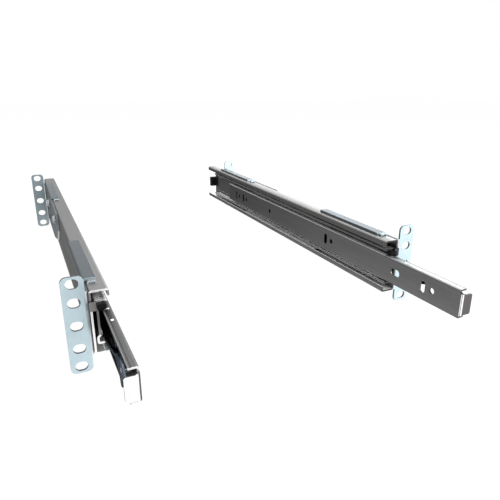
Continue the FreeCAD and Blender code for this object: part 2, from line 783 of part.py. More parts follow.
def cage_section(drawing, web_start, web, arm_end, rise, arm):
    """U of thin sheet: a web up the rail's height and an arm between each pair of tracks."""
    drawing.outline(mirrored_below([
        Corner(web_start, rise + arm / 2),
        Corner(arm_end, rise + arm / 2),
        Corner(arm_end, rise - arm / 2),
        Corner(web_start + web, rise - arm / 2)]))


def cage_length():
    return ball_pitch * (balls_per_row - 1) + cage_end_land * 2


def ball_cage(name, side, start, web_start, web, arm_end, rise, arm, line, ball_radius):
    piece = Piece(name, side, start)
    piece.section("Pad", "Strip", ZERO, cage_length(),
                  lambda d: cage_section(d, web_start, web, arm_end, rise, arm))
    pocket = piece.layer("Pocket", "BallPocket", rise + arm, rise * 2 + arm * 2,
                         lambda d: d.circle(line, cage_end_land, ball_radius + pocket_gap))
    piece.repeat(pocket, "Y_Axis", ball_pitch * (balls_per_row - 1), balls_per_row)
    return piece


def ball_rows(name, side, start, line, rise, radius):
    """Balls of one cage, in a row above and a row below."""
    label = f"{SIDE_NAMES[side]}_{name}"
    balls = []
    for row in (1, -1):
        for number in range(int(balls_per_row.value)):
            ball = doc.addObject("Part::Sphere", f"{label}_{row}_{number}")
            ball.setExpression("Radius", radius.formula)
            along = start + cage_end_land + ball_pitch * number
            ball.setExpression("Placement.Base.x", (side * (rail_face - line)).formula)
            ball.setExpression("Placement.Base.y", along.formula)
            ball.setExpression("Placement.Base.z", (row * rise).formula)
            balls.append(ball)
    group = doc.addObject("Part::Compound", label)
    group.Label = label
    group.Links = balls
    pieces.append(group)
    return group


def upper_guide(side):
    """Plastic guide at the intermediate member's front: a nose ahead of the shoulder, a
    runner under the flange and a peg up through it."""
    piece = Piece("upper_guide", side)
    floor = inner_half + running_gap
    nose_floor = middle_jog_rise + running_gap * 3
    piece.section("Pad", "Nose", -guide_nose, guide_nose, lambda d: d.outline([
        Corner(guide_nose_start, nose_floor),
        Corner(lever_in, nose_floor),
        Corner(lever_in, floor),
        Corner(guide_nose_end, floor),
        Corner(guide_nose_end, middle_flange_face),
        Corner(guide_nose_start, middle_flange_face)]))
    piece.section("Pad", "Runner", ZERO, guide_depth,
                  lambda d: d.outline(rectangle(runner_out, floor, runner_in,
                                                middle_flange_face)))
    piece.layer("Pad", "Peg", middle_flange_face, guide_peg_height,
                lambda d: d.circle((runner_out + runner_in) / 2, guide_depth / 2,
                                   guide_peg_radius))
    return piece


def lower_guide(side):
    piece = Piece("lower_guide", side)
    piece.section("Pad", "Runner", -guide_lower_nose, guide_depth + guide_lower_nose,
                  lambda d: d.outline(rectangle(runner_out, -middle_flange_face, runner_in,
                                                -inner_half - running_gap)))
    piece.layer("Pad", "Peg", -middle_flange_face - guide_peg_height, guide_peg_height,
                lambda d: d.circle((runner_out + runner_in) / 2, guide_depth / 2,
                                   guide_peg_radius))
    return piece


def rear_bumper(side):
    """Plastic stop across the outer member's rear end, on a foot along its web."""
    piece = Piece("rear_bumper", side, rail_length, REAR)
    piece.section("Pad", "Block", ZERO, bumper_block,
                  lambda d: d.outline(rectangle(outer_sheet, -bumper_half, bumper_reach,
                                                bumper_half, bumper_corner)))
    piece.section("Pad", "Foot", bumper_block, bumper_foot,
                  lambda d: d.outline(rectangle(outer_sheet, -bumper_half,
                                                outer_sheet + bumper_base, bumper_half)))
    piece.plate("Pocket", "RivetHole", outer_sheet, bumper_base,
                lambda d: d.circle(bumper_block + bumper_foot / 2, ZERO, rivet_radius))
    return piece


def bumper_rivet(side):
    piece = Piece("bumper_rivet", side)
    end = outer_sheet + bumper_base
    turned(piece, "Rivet", bumper_rivet_along, ZERO,
           [(ZERO, ZERO), (ZERO, rivet_radius), (end, rivet_radius), (end, ZERO)])
    return piece


def arm_top_at(along):
    """Height of the lever arm's upper edge at a distance behind the pivot."""
    neck = arm_neck_rise + arm_width
    tail = arm_width - arm_tail_drop
    return neck + (tail - neck) * (along - arm_neck_along) / (arm_length - arm_neck_along)


def release_lever(side):
    """Flat lever across the open side of the inner member: a long arm down to its tail and
    a head with the finger trigger. Drawn from the pivot."""
    piece = Piece("release_lever", side, inner_front + pivot_along)
    tab_end = tab_along + tab_length
    piece.plate("Pad", "Plate", lever_out, lever_sheet, lambda d: d.outline([
        Corner(arm_length, -arm_tail_drop),
        Corner(arm_length, arm_width - arm_tail_drop),
        Corner(arm_neck_along, arm_neck_rise + arm_width),
        Corner(head_back, head_top),
        Corner(-head_front, head_top),
        Corner(-nose_reach, nose_top),
        Corner(-nose_reach, nose_bottom),
        Corner(ZERO, -head_bottom_drop),
        Corner(trigger_front, -trigger_drop),
        Corner(trigger_front + trigger_width, -trigger_drop),
        Corner(head_back, -head_bottom_drop),
        Corner(arm_neck_along, arm_neck_rise)]))
    piece.plate("Pad", "SpringTab", lever_out, tab_reach, lambda d: d.outline([
        Corner(tab_along, arm_top_at(tab_along)),
        Corner(tab_end, arm_top_at(tab_end)),
        Corner(tab_end, arm_top_at(tab_end) - lever_sheet),
        Corner(tab_along, arm_top_at(tab_along) - lever_sheet)]))
    piece.plate("Pocket", "PivotHole", lever_out, lever_sheet,
                lambda d: d.circle(ZERO, pivot_rise, pivot_radius + pivot_gap))
    return piece


def lever_pivot(side):
    """Shouldered stud that stands on the inner member's web and carries the lever."""
    piece = Piece("lever_pivot", side, inner_front + pivot_along)
    shoulder = lever_in + running_gap
    turned(piece, "Stud", ZERO, pivot_rise, [
        (lever_out, ZERO),
        (lever_out, pivot_radius),
        (shoulder, pivot_radius),
        (shoulder, pivot_shoulder_radius),
        (inner_web_face, pivot_shoulder_radius),
        (inner_web_face, ZERO)])
    return piece


def lever_spring(side):
    """Leaf spring: a seat under the inner member's upper flange and a leaf that curves down
    to the lever's tab."""
    piece = Piece("lever_spring", side, inner_front)
    seat = inner_flange_face
    inner_radius = seat - spring_sheet - arm_top_at(spring_contact) - spring_gap
    outer_radius = inner_radius + spring_sheet
    centre_along = pivot_along + spring_contact + inner_radius
    centre_rise = seat - outer_radius
    piece.plate("Pad", "Leaf", inner_tip + running_gap, spring_width, lambda d: d.outline([
        Corner(centre_along + spring_seat_length, seat),
        Corner(centre_along, seat, arc=(centre_along, centre_rise, outer_radius)),
        Corner(centre_along - outer_radius, centre_rise),
        Corner(centre_along - inner_radius, centre_rise,
               arc=(centre_along, centre_rise, inner_radius)),
        Corner(centre_along, seat - spring_sheet),
        Corner(centre_along + spring_seat_length, seat - spring_sheet)]))
    return piece


def build_rail(side):
    outer_member(side)
    front_bracket(side)
    rear_bracket(side)
    front_rivets(side)
    rear_screws(side)
    rear_washers(side)
    rear_bumper(side)
    bumper_rivet(side)
    middle_member(side)
    upper_guide(side)
    lower_guide(side)
    ball_cage("outer_ball_cage", side, outer_cage_start, outer_sheet + running_gap,
              outer_cage_web, rail_depth - outer_sheet - running_gap, outer_ball_rise,
              outer_cage_arm, outer_ball_line, outer_ball_radius)
    ball_rows("outer_balls", side, outer_cage_start, outer_ball_line, outer_ball_rise,
              outer_ball_radius)
    ball_cage("inner_ball_cage", side, inner_cage_start, middle_web + running_gap,
              inner_cage_web, middle_edge - middle_sheet - running_gap, inner_ball_rise,
              inner_cage_arm, inner_ball_line, inner_ball_radius)
    ball_rows("inner_balls", side, inner_cage_start, inner_ball_line, inner_ball_rise,
              inner_ball_radius)
    inner_member(side)
    release_lever(side)
    lever_pivot(side)
    lever_spring(side)


def check_document():
    """Every object computed, every pad adding and every pocket removing material."""
    for item in doc.Objects:
        if "Invalid" in item.State or "Error" in item.State:
            raise RuntimeError(f"{item.Label} failed: {item.State}")
        if item.isDerivedFrom("Sketcher::SketchObject") and not item.FullyConstrained:
            raise RuntimeError(f"{item.Label} is not fully constrained")
    for solid, base, kind in checked_features:
        before = base.Shape.Volume if base else 0.0
        change = solid.Shape.Volume - before
        if (kind == "Pocket" and change > -1e-3) or (kind != "Pocket" and change < 1e-3):
            raise RuntimeError(f"{solid.Name} changed the volume by {change:.3f}")
    for item in pieces:
        if item.Shape.isNull() or not item.Shape.isValid() or item.Shape.Volume <= 0:
            raise RuntimeError(f"{item.Label} has no valid solid")


def write_parts():
    os.makedirs("parts", exist_ok=True)
    for item in pieces:
        item.Shape.exportStep(os.path.join("parts", item.Label + ".step"))
        box = item.Shape.BoundBox
        print(f"{item.Label:28s} solids {len(item.Shape.Solids):2d}  volume {item.Shape.Volume:9.1f}"
              f"  X {box.XMin:8.2f} {box.XMax:8.2f}  Y {box.YMin:8.2f} {box.YMax:8.2f}"
              f"  Z {box.ZMin:7.2f} {box.ZMax:7.2f}")


for rail_side in (LEFT, RIGHT):
    build_rail(rail_side)
doc.recompute()
check_document()
write_parts()
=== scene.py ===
import json
import math

import bmesh
import bpy
from bpy.props import FloatProperty, FloatVectorProperty, IntProperty, PointerProperty
from bpy.types import Operator, Panel, PropertyGroup
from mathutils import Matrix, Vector

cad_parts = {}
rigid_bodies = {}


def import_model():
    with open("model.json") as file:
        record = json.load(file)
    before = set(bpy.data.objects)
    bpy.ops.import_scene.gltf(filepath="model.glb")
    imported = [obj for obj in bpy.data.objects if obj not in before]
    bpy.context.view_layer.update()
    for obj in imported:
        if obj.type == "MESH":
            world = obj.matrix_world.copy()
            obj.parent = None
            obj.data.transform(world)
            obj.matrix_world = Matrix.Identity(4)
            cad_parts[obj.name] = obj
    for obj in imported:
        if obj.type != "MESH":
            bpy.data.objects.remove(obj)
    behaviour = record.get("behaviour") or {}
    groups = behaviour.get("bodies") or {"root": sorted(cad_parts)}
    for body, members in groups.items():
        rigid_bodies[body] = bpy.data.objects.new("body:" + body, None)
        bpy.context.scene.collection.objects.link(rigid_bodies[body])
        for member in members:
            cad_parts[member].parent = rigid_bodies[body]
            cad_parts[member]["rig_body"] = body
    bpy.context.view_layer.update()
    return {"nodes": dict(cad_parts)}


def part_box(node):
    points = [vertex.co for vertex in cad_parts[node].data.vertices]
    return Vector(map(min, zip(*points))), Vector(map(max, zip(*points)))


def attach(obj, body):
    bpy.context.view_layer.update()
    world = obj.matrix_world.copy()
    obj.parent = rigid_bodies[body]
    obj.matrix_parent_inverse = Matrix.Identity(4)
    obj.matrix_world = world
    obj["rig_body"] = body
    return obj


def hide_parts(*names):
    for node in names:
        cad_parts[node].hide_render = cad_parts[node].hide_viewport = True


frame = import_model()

bl_info = {
    "name": "Server Slide Rail Pair",
    "version": (1, 0, 0),
    "blender": (4, 5, 0),
    "location": "3D Viewport > Sidebar > Slide Rails",
    "description": "Dresses a pair of ball-bearing server slide rails and lights them",
    "category": "Object",
}

MM = 0.001
SIDES = ("left", "right")
WHITE, BLACK = (1.0, 1.0, 1.0), (0.0, 0.0, 0.0)

# Where the finishes change: heights from the rail's middle, distances across from the middle
# between the two rails, and places along a rail from the front flange's face
RAIL_HALF = 22 * MM
FLANGE_HALF = 34 * MM
OUTER_TOP = 21 * MM
INNER_TOP = 10 * MM
LUG_FOOT = 22.6 * MM
LOWER_FLANGE = (-10.3 * MM, -9 * MM)
# Across this span the painted top light goes from its inboard to its outboard strength
TOP_LIGHT_MIDDLE = (114.5 * MM, 118.5 * MM)
FADE = (-80 * MM, 380 * MM)
LIP_BEND = -77 * MM
# Places along the inner member of the lever's lit tip and of the painted shade behind it
LEVER_LIT_TIP = (-70 * MM, -60 * MM)
# Where painted shade falls on the inner member's lower flange behind the lever
LATCH_SHADE = (-52 * MM, -42 * MM)
# Where light and shade are painted on the inner member's top: a shaded groove, a bright spot and a
# highlight line
GROOVE_ACROSS, GROOVE_ALONG = (112.6 * MM, 113.7 * MM), (-21.4 * MM, -5 * MM)
SPOT_ACROSS, SPOT_ALONG = (112.2 * MM, 114 * MM), (-23.4 * MM, -21.2 * MM)
GLINT_LINE_ACROSS, GLINT_LINE_ALONG = (111.9 * MM, 114.8 * MM), (-6.4 * MM, -4.6 * MM)

# The guides' pegs, and the share of their width and height that is left at their noses
PEG_RADIUS = 1.0 * MM
PEG_RISE = 1.0 * MM
NOSE_SHARE = 0.86


# Sizes and colours that a user would change

def tone(name, about, colour):
    return FloatVectorProperty(name=name, description=about, subtype="COLOR", size=3,
                               min=0.0, max=1.0, default=colour)


def amount(name, about, value, low=0.0, high=1.0):
    return FloatProperty(name=name, description=about, default=value, min=low, max=high)


def measure(name, about, value):
    return FloatProperty(name=name, description=about, default=value * MM, min=0.0,
                         unit="LENGTH", subtype="DISTANCE", precision=5)


class SteelTones(PropertyGroup):
    outer: tone("Outer member", "Rolled steel of the outer channels", (0.118, 0.116, 0.114))
    middle: tone("Intermediate member", "Rolled steel of the middle profiles",
                 (0.150, 0.150, 0.150))
    inner: tone("Inner member", "Rolled steel of the server profiles", (0.155, 0.155, 0.157))
    # Painted light: the upward faces of the outer channels and of the right inner member are paler
    # because the light falls on them from above
    top_light: tone("Upper faces", "Paler steel on top of the outer channels", (0.225, 0.225, 0.225))
    inner_top_light: tone("Inner upper faces", "Paler steel on top of the right inner member",
                      (0.47, 0.48, 0.48))
    lug: tone("Lug fronts", "Plated front faces of the lanced lugs", (0.80, 0.95, 1.0))
    # The ball tracks' grease film, made pale and matt as painted light in the shaded channels
    track: tone("Ball tracks", "Greased steel that the balls run on", (0.32, 0.32, 0.32))
    # Painted light and shade on the cut ends: white where the light strikes them, grey and dark
    # where it doesn't
    bare: tone("Cut ends", "Bare metal where the profiles are cut off", (1.0, 1.0, 1.0))
    shaded_ends: tone("Dull cut ends", "Cut ends that are oiled or worn dark", (0.31, 0.30, 0.295))
    dark: tone("Dark cut ends", "Blackened cut ends of the right rail", (0.085, 0.080, 0.083))
    streaks: amount("Roll streaks", "Strength of the lengthwise rolling marks", 0.30)
    sheen: amount("Roughness", "Average roughness of the rolled steel", 0.38)


class PlateTones(PropertyGroup):
    zinc: tone("Zinc plate", "Pale blue passivated zinc of the brackets' flanges",
               (0.50, 0.62, 0.67))
    slate: tone("Zinc in shade", "Deeper slate blue of the legs and saddles",
                (0.082, 0.090, 0.095))
    # Painted highlight on the brackets' bends; on the sheared edges it is partly bare metal and
    # partly painted highlight, and scuffs take it as wear
    edge: tone("Sheared edge", "Brighter metal along the brackets' sheared edges",
               (0.84, 0.88, 0.90))
    grain: amount("Grain", "Strength of the plating's crystal grain", 0.30)
    cage: tone("Ball cages", "Satin strip of the ball cages", (0.13, 0.13, 0.13))
    # Painted light: the right outer cage is a paler, matt copy of the cage strip, so its shaded
    # gap doesn't read black
    lit_cage: tone("Pale ball cage", "Plated strip of the right outer ball cage",
                    (0.62, 0.63, 0.63))
    fastener: tone("Fasteners", "Dull zinc of screws and rivets", (0.30, 0.31, 0.32))
    ball: tone("Balls", "Polished bearing steel", (0.16, 0.16, 0.17))
    # Painted light and shade on the release levers: a dark strip inside the inner channel and a
    # lighter front tip where the light reaches
    lever: tone("Release lever", "Blackened strip of the release levers", (0.022, 0.024, 0.028))
    lever_lit_tip: tone("Lever tip", "Worn front tip of the release levers", (0.13, 0.16, 0.19))
    spring: tone("Spring", "Tempered spring steel", (0.10, 0.11, 0.13))


class PlasticTones(PropertyGroup):
    black: tone("Black plastic", "Moulded guides and bumpers", (0.006, 0.006, 0.007))
    edge_round: measure("Edge round", "Rounding of the moulded edges", 0.45)


class FastenerSizes(PropertyGroup):
    facets: IntProperty(name="Facets", description="Sides of each round head", default=48,
                        min=16, max=96)
    recess_width: measure("Recess width", "Width of the driver recess's wings", 0.75)
    recess_reach: measure("Recess reach", "Length of each wing from the head's centre", 1.95)
    recess_depth: measure("Recess depth", "Depth of the driver recess", 1.3)


class StageSettings(PropertyGroup):
    camera_place: FloatVectorProperty(name="Camera", description="Where the camera stands",
                                      subtype="TRANSLATION", unit="LENGTH", size=3,
                                      default=(-0.150684, -0.294684, 0.145838))
    camera_turn: FloatVectorProperty(name="Camera turn", description="How the camera is turned",
                                     subtype="EULER", unit="ROTATION", size=3,
                                     default=(math.radians(70.92), 0.0, math.radians(-25.24)))
    lens: FloatProperty(name="Lens", description="Focal length in millimetres on 36 mm",
                        default=35.27, min=10.0, max=200.0)
    ambient: amount("Ambient", "Level of the even light around the object", 0.62, 0.0, 2.0)
    key: amount("Key lamp", "Power of the large overhead lamp in watts", 4.0, 0.0, 100.0)
    fill: amount("Fill lamp", "Power of the front lamp in watts", 3.0, 0.0, 100.0)
    rim: amount("Rim lamp", "Power of the soft box behind on the right in watts", 22.0, 0.0,
                100.0)
    back: amount("Back lamp", "Power of the soft box behind the rails in watts", 6.5, 0.0, 100.0)
    side: amount("Side lamp", "Power of the near lamp at the front right in watts", 3.0, 0.0,
                 100.0)


# Shader maths

class Shade:
    """A socket of a node tree. Expressions on it add Math nodes."""

    def __init__(self, owner, socket):
        self.owner = owner
        self.socket = socket

    def __add__(self, other):
        return self.owner.maths("ADD", self, other)

    def __radd__(self, other):
        return self.owner.maths("ADD", other, self)

    def __sub__(self, other):
        return self.owner.maths("SUBTRACT", self, other)

    def __rsub__(self, other):
        return self.owner.maths("SUBTRACT", other, self)

    def __mul__(self, other):
        return self.owner.maths("MULTIPLY", self, other)

    def __gt__(self, other):
        return self.owner.maths("GREATER_THAN", self, other)

    def __lt__(self, other):
        return self.owner.maths("LESS_THAN", self, other)

    def __abs__(self):
        return self.owner.maths("ABSOLUTE", self)

    def clipped(self):
        return self.owner.node("ShaderNodeClamp", {}, {"Value": self})


class NodeTree:
    """The node tree of a material or a world, emptied and built anew."""

    def __init__(self, block):
        block.use_nodes = True
        self.tree = block.node_tree
        self.tree.nodes.clear()

    def node(self, kind, settings, sockets, output=0):
        made = self.tree.nodes.new(kind)
        for name, value in settings.items():
            setattr(made, name, value)
        for name, value in sockets.items():
            self.join(made.inputs[name], value)
        return Shade(self, made.outputs[output])

    def join(self, socket, value):
        if isinstance(value, Shade):
            self.tree.links.new(value.socket, socket)
        elif socket.type == "RGBA":
            socket.default_value = (*value, 1.0)
        else:
            socket.default_value = value

    def maths(self, operation, *values):
        return self.node("ShaderNodeMath", {"operation": operation}, dict(enumerate(values)))

    def blend(self, first, second, factor):
        """The first shader where the factor is 0 and the second where it is 1."""
        return self.node("ShaderNodeMixShader", {}, {0: factor, 1: first, 2: second})

    def seen(self):
        """1 for rays from the camera, and for what shines or shows through, else 0."""
        path = self.tree.nodes.new("ShaderNodeLightPath")
        direct, glossy, through = (Shade(self, path.outputs[f"Is {ray} Ray"])
                                   for ray in ("Camera", "Glossy", "Transmission"))
        return self.node("ShaderNodeMath", {"operation": "ADD", "use_clamp": True},
                         {0: direct + glossy, 1: through})

    def show(self, kind, surface):
        """Adds the output node of the given kind, with the surface joined to it."""
        output = self.tree.nodes.new(kind)
        self.join(output.inputs["Surface"], surface)


class Finish(NodeTree):
    """A procedural finish in the object's own coordinates."""

    def __init__(self, name, **constants):
        self.material = bpy.data.materials.new(name)
        super().__init__(self.material)
        self.shader = self.tree.nodes.new("ShaderNodeBsdfPrincipled")
        self.show("ShaderNodeOutputMaterial", Shade(self, self.shader.outputs["BSDF"]))
        self.place = self.node("ShaderNodeTexCoord", {}, {}, "Object")
        for socket, value in constants.items():
            self.feed(socket.replace("_", " "), value)

    def feed(self, socket, value):
        self.join(self.shader.inputs[socket], value)

    def stretched(self, scale):
        return self.node("ShaderNodeVectorMath", {"operation": "MULTIPLY"},
                         {0: self.place, 1: scale})

    def noise(self, scale, detail=3.0, roughness=0.55):
        """Noise from 0 to 1 whose grains have a size of about 1 / scale along each axis."""
        return self.node("ShaderNodeTexNoise", {},
                         {"Vector": self.stretched(scale), "Scale": 1.0, "Detail": detail,
                          "Roughness": roughness}, "Fac")

    def cells(self, scale):
        return self.node("ShaderNodeTexVoronoi", {},
                         {"Vector": self.stretched(scale), "Scale": 1.0}, "Color")

    def between(self, low, high, value):
        """How far value has come from low to high, from 0 to 1, eased at both ends."""
        return self.node("ShaderNodeMapRange", {"interpolation_type": "SMOOTHSTEP"},
                         {"Value": value, "From Min": low, "From Max": high})

    def within(self, low, high, value):
        """1 where the value lies between low and high, else 0."""
        return (value > low) * (value < high)

    def mixed(self, first, second, factor):
        """The first colour where the factor is 0 and the second where it is 1."""
        return self.node("ShaderNodeMix", {"data_type": "RGBA"},
                         {0: factor, 6: first, 7: second}, 2)

    def part_of(self, vector, axis):
        return self.node("ShaderNodeSeparateXYZ", {}, {0: vector}, axis)

    def at(self, axis):
        """Where the point lies along an axis, in metres."""
        return self.part_of(self.place, axis)

    def facing(self, axis):
        """How much the surface faces along an axis, from -1 to 1."""
        return self.part_of(self.node("ShaderNodeTexCoord", {}, {}, "Normal"), axis)

    def rounded(self, radius):
        """The surface's direction with its sharp edges rounded."""
        return self.node("ShaderNodeBevel", {"samples": 6}, {"Radius": radius})

    def edges(self, rounded):
        """1 along sharp edges and 0 on the faces between them."""
        plain = self.node("ShaderNodeNewGeometry", {}, {}, "Normal")
        likeness = self.node("ShaderNodeVectorMath", {"operation": "DOT_PRODUCT"},
                             {0: rounded, 1: plain}, "Value")
        return self.between(0.02, 0.22, 1 - likeness)

    def relief(self, height, depth, normal=None):
        sockets = {"Height": height, "Distance": depth}
        if normal:
            sockets["Normal"] = normal
        self.feed("Normal", self.node("ShaderNodeBump", {}, sockets))


def scaled(colour, factor):
    """The colour made lighter or darker by a factor, up to white."""
    return tuple(min(1.0, part * factor) for part in colour)


# Finishes

class RolledSteel(Finish):
    """Cold rolled strip: lengthwise rolling marks, clouded oxide and cut ends. Each method adds
    one layer over those before it, mostly painted light and shade, with the grease film partly a
    real mark of use, and finished() gives the material. Heights are measured from the rail's
    middle, and places along it from the front flange's face."""

    def __init__(self, name, colour, tones, ends):
        super().__init__(name, Specular_Tint=(0.34, 0.34, 0.34))
        self.colour = colour
        self.tones = tones
        self.along = self.at("Y")
        self.height = self.at("Z")
        self.upward = self.facing("Z")
        self.streak = self.noise((2600, 16, 2600), 4.0)
        self.cloud = self.noise((55, 22, 55), 4.0)
        broad = self.noise((420, 5, 420), 2.0)
        self.mark = (self.streak * 0.45 + broad * 0.35 + self.cloud * 0.35).clipped()
        self.shown = self.mixed(scaled(colour, 1 - 0.55 * tones.streaks),
                                scaled(colour, 1 + 0.85 * tones.streaks),
                                self.between(0.34, 0.82, self.mark))
        sheared = self.between(0.45, 0.75, self.noise((900, 900, 160), 2.0))
        self.ends = self.mixed(ends, scaled(ends, 0.88), sheared)
        self.metal = 1.0

    def cover(self, colour, share):
        """Mixes a share of the colour into what shows so far."""
        self.shown = self.mixed(self.shown, colour, share)

    def shadow(self, strength):
        """Darkens the steel towards the top."""
        rise = self.between(-RAIL_HALF, RAIL_HALF, self.height)
        self.cover(scaled(self.colour, 0.6), rise * strength)

    def top_light(self, level, colour, inboard=1.0, last=None):
        """Paints light on the upward faces above a level: another colour, with a factor to it on
        the inboard half. It ends at the last place along the rail, if one is given."""
        top = self.mixed(scaled(colour, inboard), colour,
                         self.between(*TOP_LIGHT_MIDDLE, abs(self.at("X"))))
        top = self.mixed(scaled(self.colour, 1.6), top, self.mark + 0.35)
        topmost = self.height > level
        if last is not None:
            topmost = topmost * (1 - self.between(last, last + 15 * MM, self.along))
        self.cover(top, self.between(0.3, 0.8, self.upward) * topmost)

    def fade(self, strength):
        """Paints shade on the steel, darker towards the rear."""
        self.cover(scaled(self.colour, 0.35), self.between(*FADE, self.along) * strength)

    def grease_and_light(self, low, high, level=1.0, slanting=0.3, upper=1.0):
        """Puts a grey film on the tracks at heights from low to high, above and below the middle:
        grease, made pale and matt as painted light in the shaded channel. Factors lighten it on
        level and on slanting faces, and in the upper half."""
        flatness = abs(self.upward)
        film = self.within(low, high, abs(self.height)) * (self.along > 0.0)
        film = film * self.between(0.1, 0.5, flatness)
        grey = self.mixed(scaled(self.tones.track, slanting), scaled(self.tones.track, level),
                          self.between(0.75, 0.98, flatness))
        grey = self.mixed(BLACK, grey, (self.height > 0.0) * (upper - 1) + 1)
        self.cover(grey, film)
        self.metal = 1 - film * 0.9

    def latch_shade(self):
        """Paints shade on the inner member's lower flange behind the release lever's tip."""
        shade_mask = self.within(*LOWER_FLANGE, self.height) * (self.upward > 0.5)
        shade_mask = shade_mask * self.between(*LATCH_SHADE, self.along)
        self.cover((0.004, 0.004, 0.005), shade_mask)
        self.metal = self.metal - shade_mask

    def top_light_and_shade(self):
        """Paints light and shade on the inner member's top: shade on its slopes and in a groove
        near the front, a painted highlight as a bright spot at the groove's front end and another
        as a line at its rear end."""
        across = abs(self.at("X"))
        level = self.upward > 0.7
        topmost = self.height > INNER_TOP
        slope = self.between(0.08, 0.25, abs(self.facing("X"))) * level
        groove = self.within(*GROOVE_ACROSS, across) * level
        groove = groove * self.within(*GROOVE_ALONG, self.along)
        self.cover(scaled(self.colour, 0.4), (slope * 0.35 + groove * 0.6).clipped())
        spot = self.within(*SPOT_ACROSS, across) * topmost
        spot = spot * self.within(*SPOT_ALONG, self.along)
        bright_line = self.within(*GLINT_LINE_ACROSS, across) * topmost
        bright_line = bright_line * self.within(*GLINT_LINE_ALONG, self.along)
        self.cover(self.tones.bare, (spot + bright_line).clipped())

    def bend_highlights(self, colour):
        """Paints two highlights along the bend of the inner member's front lip."""
        turn = abs(self.facing("Y"))
        lines = self.within(0.2, 0.45, turn) + self.within(0.62, 0.93, turn)
        self.cover(colour, lines * (self.along < LIP_BEND))

    def shaded_ends(self, low, high):
        """Paints shade on the cut ends at heights from low to high, and on all of them ahead of
        the flange.
        """
        ends_in_shade = (self.within(low, high, self.height) + (self.along < -1 * MM)).clipped()
        self.ends = self.mixed(self.ends, self.tones.shaded_ends, ends_in_shade)

    def finished(self):
        self.feed("Metallic", self.metal)
        rounded = self.rounded(0.12 * MM)
        # Painted highlight along the sharp edges, partly as bare metal worn there
        self.cover((0.6, 0.6, 0.6), self.edges(rounded) * 0.15)
        ends = self.mixed(self.ends, self.tones.lug, self.height > LUG_FOOT)
        self.feed("Base Color", self.mixed(self.shown, ends, abs(self.facing("Y")) > 0.93))
        self.feed("Roughness", (self.streak * 0.16 + self.cloud * 0.14
                                + (self.tones.sheen - 0.15)).clipped())
        fine = self.noise((5200, 900, 5200), 2.0)
        self.relief(self.streak * 0.7 + fine * 0.3, 0.012 * MM, rounded)
        return self.material


def zinc_plate(name, tones, lightness, shade):
    """Blue passivated zinc: soft crystal grain, faint handling marks, painted highlights on the
    bends, and edges brighter partly as bare metal and partly as painted highlight. Lightness is a
    factor to faces across the rail, and shade to the darker ones along it; with these each bracket
    gets its painted light and shade."""
    plate = Finish(name, Metallic=0.75, Specular_Tint=(0.36, 0.38, 0.395))
    tint = plate.part_of(plate.cells((260, 150, 210)), "X")
    cloud = plate.noise((38, 30, 34), 3.0)
    fine = plate.noise((3200, 3200, 3200), 2.0)
    scuff = plate.noise((240, 60, 900), 5.0, 0.7)
    across = abs(plate.facing("Y"))
    flange = scaled(tones.zinc, lightness)
    # Painted light: the flange is lighter towards its bottom
    low_light = plate.between(-FLANGE_HALF, FLANGE_HALF, plate.at("Z"))
    zinc = plate.mixed(scaled(flange, 1.14), flange, low_light)
    # Painted shade: faces that don't face front or back take the slate tone
    zinc = plate.mixed(scaled(tones.slate, shade), zinc, plate.between(0.2, 0.6, across))
    cool = plate.mixed(zinc, (0.0, 0.02, 0.05), 0.14)
    warm = plate.mixed(zinc, WHITE, 0.06)
    body = plate.mixed(cool, warm, (tint * tones.grain + cloud * 0.75).clipped())
    # Painted highlight along the bends
    body = plate.mixed(body, tones.edge, plate.within(0.30, 0.93, across))
    scuffed = plate.mixed(body, tones.edge, plate.between(0.64, 0.80, scuff) * 0.10)
    rounded = plate.rounded(0.16 * MM)
    # The sheared edges are brighter, partly as bare metal and partly as painted highlight
    plate.feed("Base Color", plate.mixed(scuffed, tones.edge, plate.edges(rounded) * 0.45))
    plate.feed("Roughness", (0.28 + tint * 0.07 + cloud * 0.18 + fine * 0.05).clipped())
    plate.relief(fine * 0.4 + cloud * 0.6, 0.02 * MM, rounded)
    return plate.material


def satin_strip(name, colour, tip=None, **constants):
    """Thin rolled strip with fine lengthwise brushing, and another colour at a lever's front tip,
    if one is given: the lighter tip and the dark strip behind it are painted light and shade in
    the inner channel."""
    strip = Finish(name, **constants)
    brush = strip.noise((3000, 60, 3000), 3.0)
    cloud = strip.noise((90, 60, 90), 2.0)
    shade = strip.mixed(scaled(colour, 0.78), scaled(colour, 1.18),
                        (brush * 0.6 + cloud * 0.4).clipped())
    if tip:
        shade = strip.mixed(tip, shade, strip.between(*LEVER_LIT_TIP, strip.at("Y")))
    strip.feed("Base Color", shade)
    strip.feed("Roughness", brush * 0.15 + 0.27)
    strip.relief(brush, 0.008 * MM)
    return strip.material


def polished_steel(name, colour):
    ball = Finish(name, Metallic=1.0)
    film = ball.noise((420, 420, 420), 3.0)
    ball.feed("Base Color", ball.mixed(scaled(colour, 0.88), colour, film))
    ball.feed("Roughness", film * 0.10 + 0.06)
    return ball.material


def spring_temper(name, blue):
    """Spring steel with the straw to blue shades of its tempering."""
    leaf = Finish(name, Metallic=1.0)
    heat = leaf.noise((160, 60, 160), 2.0)
    brush = leaf.noise((4000, 200, 4000), 2.0)
    straw = (0.40, 0.34, 0.24)
    leaf.feed("Base Color", leaf.mixed(blue, straw, leaf.between(0.42, 0.72, heat) * 0.5))
    leaf.feed("Roughness", brush * 0.12 + 0.22)
    leaf.relief(brush, 0.006 * MM)
    return leaf.material


